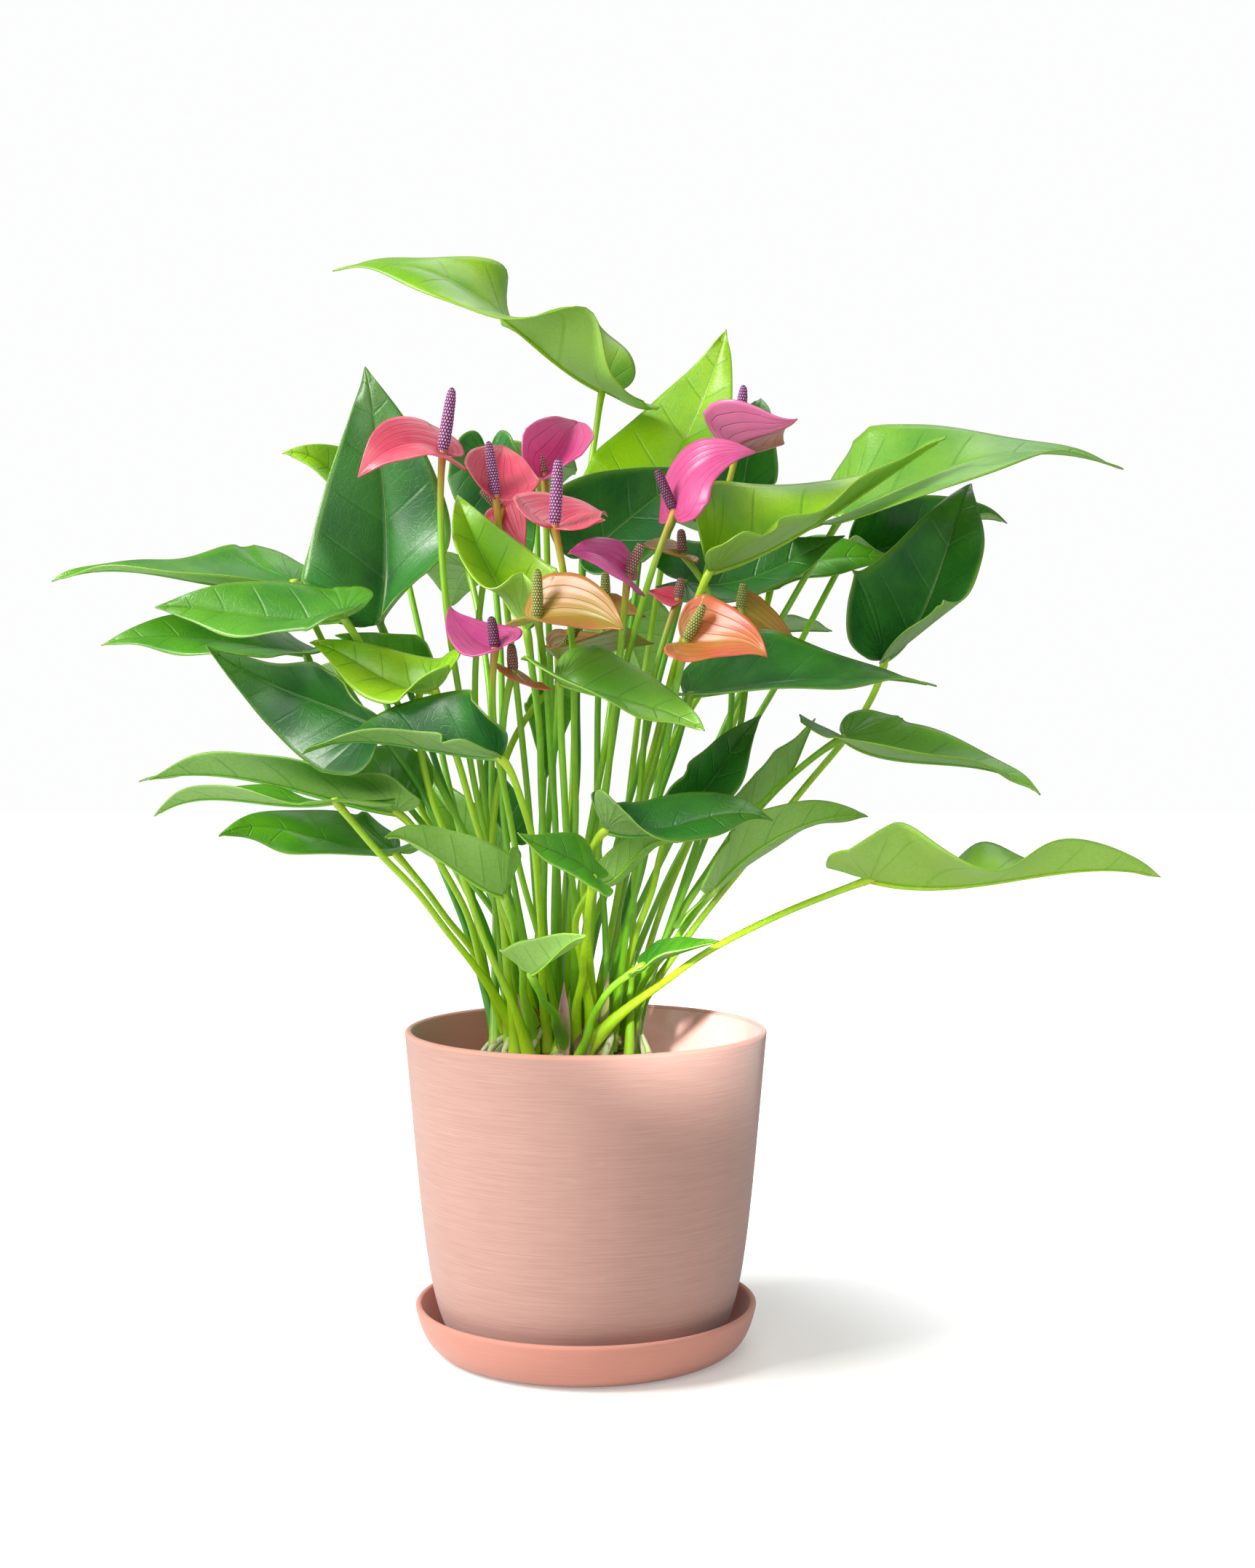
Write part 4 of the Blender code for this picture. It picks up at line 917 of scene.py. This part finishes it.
EXTRA_LEAVES = read_rows("leaf", SHAPE + " green", """
33 64 -104,87,305 -166,64,335 -.3,-.5,.8 .39 -.2,.28 .02,.02 25,30 -.05 -50 .14 -.1 - lime
34 56 -46,58,332 -24,16,266 .05,-1,.2 .34 -.2,-.24 -.1,.06 40,-5 .2 - .18 - - deep
35 45 103,112,307 116,146,378 0,-.95,.35 .34 -.1,.34 .06,-.02 45,25 - - .16 .1 - deep
36 50 118,67,262 187,58,274 .3,-.45,.85 .35 .2,.1 -.06,-.02 25,15 .3 40 .12 -.1 -15,-40,-80 mid
37 62 -72,-67,206 -119,-62,226 -.35,-.75,.55 .34 -.2,0 0,-.08 50,25 -.2 - .18 .3 -15,-30,-60 mid
38 57 43,-65,53 81,-85,68 -.1,-.4,.9 .33 .04,.04 -.02,-.04 5,30 -.15 -10 .14 - -30,0,-15 mid
39 54 -8,-5,199 -11,5,149 .15,-.95,-.2 .32 -.24,.22 -.02,-.04 35,35 -.05 -5 .14 .2 -55,-90,-60 light
40 48 -36,72,112 -50,82,160 .3,-.9,.2 .33 - - 15,5 .1 - .14 .3 -15,-10,-35 deep
42 59 -60,85,270 -75,140,250 -.1,.5,.85 .4 .1,.05 .02,0 20,10 .1 - .18 .3 25,-50,-80 mid
43 53 30,100,240 50,150,190 .1,.7,.7 .4 .1,.05 .02,0 20,10 .1 - .18 .3 - light
44 49 100,90,225 160,140,235 .3,.4,.85 .38 .1,.05 .02,0 20,10 .1 - .18 .3 -60,-75,-65 deep
45 61 -20,90,330 -40,150,300 0,.6,.8 .38 .1,.05 .02,0 20,10 .1 - .18 .3 - deep
46 51 -110,70,200 -170,120,200 -.3,.4,.85 .38 .1,.05 .02,0 20,10 .1 - .18 .3 - deep
47 58 60,82,301 99,129,289 .1,.5,.85 .38 .1,.05 .02,0 20,10 .1 - .18 .3 -20,-15,-90 mid
""")
FLOWERS = read_rows("flower", SHAPE, """
01 25 -59,-102,316 -100,-118,302 -.1,-.5,.85 .48 .28,.26 -.12,0 15,15 .05 -35 .26 - -10,10,-95
02 14 -33,-87,295 -32,-51,326 .3,-.9,.35 .45 0,.16 .08,-.02 25,10 -.2 - .14 .3 -
03 6 -10,-43,311 7,-3,344 -.05,-1,.15 .42 .08,.18 -.08,0 50,25 -.2 - .18 .1 -
04 2 -2,-125,277 24,-94,285 .05,-.5,.85 .59 -.04,.22 .18,.06 10,10 -.2 - .24 - 20,10,-85
05 5 34,-117,253 5,-141,263 .45,-.55,.7 .47 .14,.12 -.06,-.14 20,0 .1 -5 .22 - -
06 16 94,-15,330 124,-43,341 .2,.5,.85 .61 -.08,-.12 -.14,.02 20,35 -.1 15 .18 -.1 -
07 1 58,-77,289 100,-79,319 -.3,-.3,.9 .5 .26,.3 .12,.02 5,15 .25 55 .12 - -35,-5,-85
08 7 -10,-135,231 32,-166,225 -.05,-.55,.8 .46 .08,0 .1,.18 20,15 -.15 15 .18 - 10,65,-70
09 17 -2,-67,214 48,-47,222 -.1,-.2,1 .56 -.02,0 -.18,.06 20,45 - -15 .14 .5 0,0,-65
10 15 -31,-131,217 -55,-110,239 .4,-.8,.4 .44 -.1,-.02 .08,.14 15,-5 - 5 .28 .4 -10,15,-65
11 39 62,-145,220 100,-172,212 .15,-.85,.5 .49 -.08,.12 .06,.18 20,0 -.2 - .12 .2 -
12 12 -23,-115,206 -3,-127,197 .5,-.15,.85 .46 -.16,-.12 -.08,0 5,15 .1 20 .26 -.4 -20,20,-60
""")
EXTRA_FLOWERS = read_rows("flower", SHAPE, """
13 46 -34,-10,296 -21,-20,270 -.5,-.8,.3 .42 - - 10,10 .1 - .14 .3 -30,-60,-90
14 60 61,-32,246 44,-29,251 0,-.7,.7 .45 - - 20,10 .1 - .14 .3 -30,-25,-75
15 55 64,-16,271 41,-37,275 0,-.6,.8 .42 - - 15,10 .1 - .14 .3 70,-5,-80
16 52 22,-20,244 44,-25,237 .1,-.6,.8 .4 - - 20,10 .1 - .14 .3 -10,-20,-75
17 47 95,-20,241 130,-25,217 .1,-.8,.6 .32 - - 15,5 .1 - .14 .3 20,-25,-70
""")
spikes = read_rows("flower", "spike spike_radius bract spadix", """
01 -54,-102,349 .0034 coral purple
02 -37,-87,324 .003 coral purple
03 -16,-43,331 .003 pink brown
04 0,-125,311 .0034 coral purple
05 41,-117,270 .003 magenta brown
06 97,-15,363 .0034 magenta purple
07 49,-77,311 .003 pink dark
08 -10,-135,256 .003 olive green
09 10,-67,234 .003 olive green
10 -33,-131,233 .003 magenta dark
11 71,-149,238 .003 peach green
12 -24,-115,220 .003 peach brown
13 -46,-10,307 .003 coral brown
14 63,-32,258 .003 coral brown
15 63,-16,285 .003 olive brown
16 22,-20,262 .003 olive green
17 97,-20,256 .003 olive green
""")
for flowers_of in (FLOWERS, EXTRA_FLOWERS):
    for name, values in flowers_of.items():
        values.update(spikes[name])
# Two long blades also roll part of the way along: by how much, where, and over what length.
LEAVES["leaf_01"]["rolls"] = [(38, 0.31, 0.11)]
LEAVES["leaf_13"]["rolls"] = [(-24, 0.12, 0.14), (14, 0.44, 0.12)]

print("leaves:", len(LEAVES), "+", len(EXTRA_LEAVES))
print("flowers:", len(FLOWERS), "+", len(EXTRA_FLOWERS))

# %% [markdown]
# ## Leaves
# One leaf is one piece: the blade, pulled slightly taut between its side veins, the midrib that
# stands out underneath, and the stalk with its wide sheathing foot and its knee. Each has margins
# that wave a little in their own way. The blade is a sheet shaped by its outline, thickened last.

# %% Build the leaves
LEAF_THICKNESS = 0.0008
STALK_RADIUS = 0.0018
KNEE_RADIUS = 0.0024
STALK_ROWS = 60


def stalk_radii(line, radius, foot, knee):
    """Thick at the sheathing foot, slim along the way and thicker again at the knee."""
    steps = np.linalg.norm(np.diff(line, axis=0), axis=1)
    gone = np.concatenate([[0.0], np.cumsum(steps)])
    left = gone[-1] - gone
    radii = radius + (foot - radius) * np.exp(-(gone / 0.030) ** 1.5)
    return radii + (knee - radius) * np.exp(-(left / 0.011) ** 2)


def wander(line, dice, size=0.0024):
    """Small slow bends on the way up, none at either end."""
    share = np.linspace(0, 1, len(line))
    for axis in (0, 1):
        for beats in (1.5, 3.0):
            phase, part = dice.uniform(0, math.tau), dice.uniform(0.4, 1.0)
            sway = np.sin(math.tau * beats * share + phase) * np.sin(math.pi * share) ** 1.5
            line[:, axis] += size * part * sway / beats
    return line


def build_leaf(name, leaf, nodes):
    dice = random.Random(name)
    green = leaf["green"]
    points, middle, faces_to = blade_points(leaf, dice)
    blade = thicken(sheet(name + "_blade", points, (UPPER[green], UNDER[green])), LEAF_THICKNESS)
    length = np.linalg.norm(points[-1, 0] - points[0, 0])
    rib_radii = np.linspace(0.0090, 0.001, len(middle)) * min(length, 0.13) + 0.0002
    rib_line = middle - faces_to * (rib_radii * 0.55 + LEAF_THICKNESS / 2)[:, None]
    rib = tube(name + "_rib", rib_line, rib_radii, 8, (STALKS[green],))
    line = stem_line(leaf, STALK_ROWS)
    line = wander(line, dice)
    stalk_look = STALKS[dice.choice(("lime", "lime", "light", "mid", green))]
    line = np.vstack([line, line[-1:] + 0.4 * (middle[1:2] - line[-1:])])
    radii = stalk_radii(line, STALK_RADIUS, dice.uniform(0.0034, 0.0056), KNEE_RADIUS)
    radii[-2:] *= (0.92, 0.66)
    stalk = tube(name + "_stalk", line, radii, 14, (stalk_look,))
    return place(joined("fine_" + name, [blade, rib, stalk]), nodes, "leaf_" + green)


leaves = [build_leaf(name, leaf, [name]) for name, leaf in LEAVES.items()]
leaves += [build_leaf(name, leaf, []) for name, leaf in EXTRA_LEAVES.items()]
print("leaves:", len(leaves), "faces:", sum(len(made.data.polygons) for made in leaves))

# %% [markdown]
# ## Flowers
# A flower is two pieces: the stem with its spike, and the spathe. The spike is a tapering bar
# covered by a lattice of tiny bumps, each row shifted by half a bump from the one below, so that
# they wind round it as the real flowers do. The height of the bumps is kept as an attribute.

# %% Build the flowers
SPATHE_THICKNESS = 0.0008
STEM_RADIUS = 0.0017
BUMP_HEIGHT = 0.0006
BUMPS_ROUND = 12
BUMP_STEPS = 5              # vertices for each bump, both ways


def spike(name, flower, look):
    base, end = np.array(flower["base"]) + PLANT, np.array(flower["spike"]) + PLANT
    radius, axis = flower["spike_radius"], unit(end - base)
    pitch = math.tau * radius / BUMPS_ROUND * 0.88
    count = max(8, round(np.linalg.norm(end - base) / pitch))
    rows, columns = count * BUMP_STEPS + 1, BUMPS_ROUND * BUMP_STEPS + 1
    share = np.linspace(0, 1, rows)
    stout = np.interp(share, (0, 0.04, 0.14, 0.45, 0.80, 0.93, 0.98, 1.0),
                      (0.0, 0.62, 0.94, 0.96, 0.80, 0.60, 0.34, 0.0))
    around = np.linspace(0, BUMPS_ROUND, columns)
    u, v = np.meshgrid(around, share * count)
    crest = np.zeros_like(u)
    for shift in (-1, 0, 1):
        level = np.round(v) + shift
        apart = u - 0.5 * (level % 2)
        apart = np.abs(apart - np.round(apart))
        crest = np.maximum(crest, 1 - (apart / 0.52) ** 2 - ((v - level) / 0.62) ** 2)
    crest = crest.clip(0, 1) ** 0.8 * np.minimum(1, stout / 0.5)[:, None]
    across = unit(np.cross(axis, (0.3, 1.0, 0.1)))
    other = np.cross(axis, across)
    turn = u / BUMPS_ROUND * math.tau
    spoke = np.cos(turn)[..., None] * across + np.sin(turn)[..., None] * other
    out = (radius - BUMP_HEIGHT) * stout[:, None] + BUMP_HEIGHT * crest
    out[0] = out[-1] = 0.0
    centre = base + share[:, None, None] * (end - base)
    return sheet(name, centre + out[..., None] * spoke, (look,), bump=crest)


def build_flower(name, flower, nodes):
    dice = random.Random(name)
    bract, spadix = flower["bract"], flower["spadix"]
    stem_look = STEMS["olive" if bract in ("olive", "peach") else "coral"]
    line = wander(stem_line(flower, STALK_ROWS), dice, 0.0016)
    towards = unit(np.array(flower["spike"]) - np.array(flower["base"]))
    line = np.vstack([line, line[-1] + 0.0035 * towards])
    radii = stalk_radii(line, STEM_RADIUS, dice.uniform(0.0028, 0.0040), STEM_RADIUS * 1.25)
    radii[-1] *= 0.8
    stem = tube(name + "_stem", line, radii, 12, (stem_look,))
    tip = spike(name + "_spike", flower, SPIKE_LOOKS[spadix])
    place(joined("fine_" + name + "_stem", [stem, tip]), nodes[:1], "spike_" + spadix)
    points, middle, faces_to = blade_points(flower, dice, steps=7, columns=25, wave=0.022,
                                            puff=0.0, groove=0.0003)
    row = np.linspace(0, 1, points.shape[0])[:, None]
    cup = np.abs(np.linspace(-1, 1, points.shape[1]))
    ridge = 0.00016 * np.cos(np.pi * 2 * 4.0 * cup) * np.sin(np.pi * row).clip(0)
    points = points + ridge[..., None] * faces_to[0]
    spathe = sheet("fine_" + name + "_spathe", points, (FRONTS[bract], BACKS[bract]))
    thicken(spathe, SPATHE_THICKNESS)
    return place(spathe, nodes[1:], "spathe_" + bract)


flowers = [build_flower(name, flower, [name + "_stem", name + "_spathe"])
           for name, flower in FLOWERS.items()]
flowers += [build_flower(name, flower, []) for name, flower in EXTRA_FLOWERS.items()]
print("flowers:", len(flowers), "faces:", sum(len(made.data.polygons) for made in flowers))

# %% [markdown]
# ## Soil and rootstock
# The pot is filled with a loose mix of peat and bark. The rootstock is a short woody stem, scarred
# by old leaves. Brown papery husks of old sheaths stick to it, thick pale roots grow from it down
# into the mix, and a few pink new sheaths stand among the stalks.

# %% Soil and rootstock materials


def rough_matter(name, first, second, third, scale, roughness=0.85, bump_size=0.0006, wet=0.0):
    made, tree, shader = new_material(name)
    coords = add(tree, "ShaderNodeTexCoord").outputs["Object"]
    colour = mix(tree, ramp(tree, mottle(tree, coords, scale), 0.35, 0.65), first, second)
    specks = mottle(tree, coords, scale * 5, 2.0)
    colour = mix(tree, ramp(tree, specks, 0.55, 0.72), colour, third)
    tree.links.new(colour, shader.inputs["Base Color"])
    height = mottle(tree, coords, scale * 4, 4.0)
    relief(tree, shader, height, bump_size)
    settle(shader, Roughness=roughness, Coat_Weight=wet)
    return made


PEAT = rough_matter("peat", srgb(62, 44, 34), srgb(40, 28, 22), srgb(96, 74, 56), 120.0)
BARK = rough_matter("bark_chip", srgb(98, 68, 46), srgb(66, 44, 32), srgb(134, 104, 78), 150.0)
WOOD = rough_matter("rootstock_bark", srgb(104, 112, 48), srgb(94, 74, 48), srgb(64, 50, 38), 70.0)
HUSK = rough_matter("husk", srgb(150, 118, 84), srgb(108, 80, 56), srgb(188, 162, 128), 90.0)
ROOT = rough_matter("aerial_root", srgb(214, 214, 178), srgb(172, 186, 118), srgb(150, 120, 84),
                    60.0, 0.6, 0.0002, 0.1)
SCAR = rough_matter("leaf_scar", srgb(222, 138, 62), srgb(190, 104, 48), srgb(120, 74, 44), 160.0)
SHEATH = rough_matter("new_sheath", srgb(204, 160, 160), srgb(172, 176, 100), srgb(188, 132, 130),
                      40.0, 0.5, 0.0002, 0.15)

# %% Build soil and rootstock
dice = random.Random("soil")
DOME_COLUMNS = 97


def dome(name, centre, profile, lumps, looks):
    """A round heap: rows of (radius, height) from the axis outwards, with lumps on it."""
    radii, heights = np.array(profile).T
    turns = np.linspace(0, math.tau, DOME_COLUMNS)
    x, y = np.outer(radii, np.cos(turns)), np.outer(radii, np.sin(turns))
    z = np.repeat(heights[:, None], DOME_COLUMNS, axis=1)
    for _ in range(14):
        turn, beats = dice.uniform(0, math.tau), dice.uniform(120, 420)
        phase = dice.uniform(0, math.tau)
        z = z + lumps / 5 * np.sin(beats * (x * math.cos(turn) + y * math.sin(turn)) + phase)
    fixed = (heights == heights.min())[:, None]
    z = np.where(fixed, heights.min(), z)
    z[0] = z[0, 0]
    return sheet(name, np.stack([x, y, z], axis=-1)[:, ::-1] + np.array(centre), looks)


inner = pot_section[(pot_section[:, 0] > 0.06) & (np.arange(len(pot_section)) > 52)]
soil_edge = float(np.interp(SOIL_TOP - POT_BASE, inner[::-1, 1], inner[::-1, 0])) - 0.0006
ring = np.linspace(0, 1, 34)
mound = [(share * soil_edge, SOIL_MIDDLE - 0.0006 - 0.003 * share ** 3) for share in ring]
under = POT_BASE + POT_FLOOR + GAP
mound += [(0.066, POT_BASE + 0.022), (0.058, under), (0.0, under)]
soil = dome("soil_heap", (0, 0, 0), mound, 0.0007, (PEAT,))
chips = [soil]
for number in range(260):
    out, turn = soil_edge * math.sqrt(dice.uniform(0.02, 0.90)), dice.uniform(0, math.tau)
    size = dice.uniform(0.0015, 0.0042)
    bpy.ops.object.select_all(action="DESELECT")
    bpy.ops.mesh.primitive_ico_sphere_add(
        subdivisions=1, radius=1.0, rotation=[dice.uniform(0, math.pi) for _ in range(3)],
        location=(out * math.cos(turn), out * math.sin(turn), SOIL_TOP + 0.0012),
        scale=(size, size * dice.uniform(0.5, 0.9), size * dice.uniform(0.25, 0.5)))
    chip = bpy.context.object
    chip.data.materials.append(BARK if number % 3 else PEAT)
    chips.append(chip)
soil = joined("fine_soil", chips)
bpy.ops.object.transform_apply(location=True, rotation=True, scale=True)
place(soil, ["soil"], "growing_mix")

crown_radius = FOOT_SPACING * math.sqrt(44) + 0.0024 + 0.0008
crown_low = SOIL_MIDDLE + GAP
cushion = [(share * crown_radius, PLANT[2] - 0.0012) for share in np.linspace(0, 0.93, 18)]
cushion += [(crown_radius, PLANT[2] - 0.003), (crown_radius + 0.003, PLANT[2] - 0.010),
            (crown_radius + 0.005, crown_low + 0.006), (crown_radius + 0.002, crown_low),
            (0.0, crown_low)]
heap = dome("rootstock_heap", (PLANT[0], PLANT[1], 0), cushion, 0.0009, (WOOD,))
place(joined("fine_rootstock", [heap]), ["rootstock"], "rootstock")


def scale_leaf(name, foot, height, half, lean, turn, looks):
    """A pointed sheath that clasps what stands inside it."""
    rise = np.linspace(0, 1, 12)[:, None]
    spread = np.linspace(-1, 1, 9)[None, :]
    wide = half * np.sqrt(np.sin(np.pi * (0.12 + 0.88 * rise))) * (1 - rise ** 4)
    angle = spread * 1.3
    x = wide * np.sin(angle)
    y = wide * (1 - np.cos(angle)) - lean * height * rise ** 1.6
    z = height * rise + 0 * spread
    points = np.stack(np.broadcast_arrays(x * math.cos(turn) - y * math.sin(turn),
                                          x * math.sin(turn) + y * math.cos(turn), z), axis=-1)
    return thicken(sheet(name, points + foot, looks), 0.00035, 0)


husks = []
for number in range(34):
    turn = number * GOLDEN_TURN + dice.uniform(-0.2, 0.2)
    out = crown_radius * math.sqrt(dice.uniform(0.12, 1.0))
    foot = PLANT + (out * math.cos(turn), out * math.sin(turn), dice.uniform(-0.003, 0.006))
    husks.append(scale_leaf(f"husk_{number}", foot, dice.uniform(0.014, 0.034),
                            dice.uniform(0.003, 0.0060), dice.uniform(-0.9, 0.6),
                            turn + math.pi / 2 + dice.uniform(-0.6, 0.6), (HUSK,)))
place(joined("rootstock_husks", husks), [], "rootstock")

sheaths = []
for number, spot in enumerate((3, 9, 14, 20, 27, 31, 36, 41)):
    turn = spot * GOLDEN_TURN
    out = FOOT_SPACING * math.sqrt(spot) + 0.0045
    foot = PLANT + (out * math.cos(turn), out * math.sin(turn), -0.002)
    sheaths.append(scale_leaf(f"sheath_{number}", foot, dice.uniform(0.026, 0.050), 0.0036,
                              -0.25, turn - math.pi / 2, (SHEATH,)))
place(joined("new_sheaths", sheaths), [], "rootstock")

roots = []
for number in range(22):
    turn = number * GOLDEN_TURN + dice.uniform(-0.3, 0.3)
    out = crown_radius * dice.uniform(0.55, 0.95)
    start = PLANT + (out * math.cos(turn), out * math.sin(turn), dice.uniform(0.000, 0.016))
    bow = turn + dice.uniform(-0.8, 0.8)
    end_out = crown_radius + dice.uniform(0.006, 0.022)
    end = PLANT + (end_out * math.cos(bow), end_out * math.sin(bow), -0.030)
    lift = np.array((0.012 * math.cos(turn), 0.012 * math.sin(turn), dice.uniform(0.0, 0.010)))
    line = bezier(start, start + lift, end + (0, 0, 0.016), end, np.linspace(0, 1, 24))
    stout = dice.uniform(0.0013, 0.0022)
    radii = stout * (1 + 0.12 * np.sin(np.linspace(0, 9, 24) + number))
    radii[0] *= 0.6
    roots.append(tube(f"root_{number}", line, radii, 10, (ROOT,)))
for number in range(9):
    turn = number * GOLDEN_TURN * 1.3
    out = crown_radius * math.sqrt(dice.uniform(0.1, 0.9))
    foot = PLANT + (out * math.cos(turn), out * math.sin(turn), -0.003)
    line = foot + np.outer(np.linspace(0, 1, 6), (0.006 * math.cos(turn), 0.004, 0.020))
    roots.append(tube(f"stub_{number}", line, np.array((3.4, 3.3, 3.0, 2.8, 2.6, 2.0)) * 0.001,
                      10, (SCAR if number % 2 else ROOT,)))
place(joined("roots_and_stubs", roots), [], "rootstock")
print("husks:", len(husks), "sheaths:", len(sheaths), "roots:", len(roots))

# %% [markdown]
# ## Last checks
# Every piece should fill the box of the node that it stands for, so the differences are printed.

# %% Compare and finish
bpy.context.view_layer.update()
worst = 0.0
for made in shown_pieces():
    for node in made.get("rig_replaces", []):
        corners = np.array(made.bound_box) + np.array(made.matrix_world.translation)
        low, high = (np.array(corner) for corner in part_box(node))
        fine_low, fine_high = corners.min(axis=0), corners.max(axis=0)
        gap = max(np.abs(fine_low - low).max(), np.abs(fine_high - high).max())
        worst = max(worst, gap)
        if gap > 0.008:
            print("differs from", node, "by", round(gap * 1000, 1), "mm")
print("largest difference:", round(worst * 1000, 1), "mm")
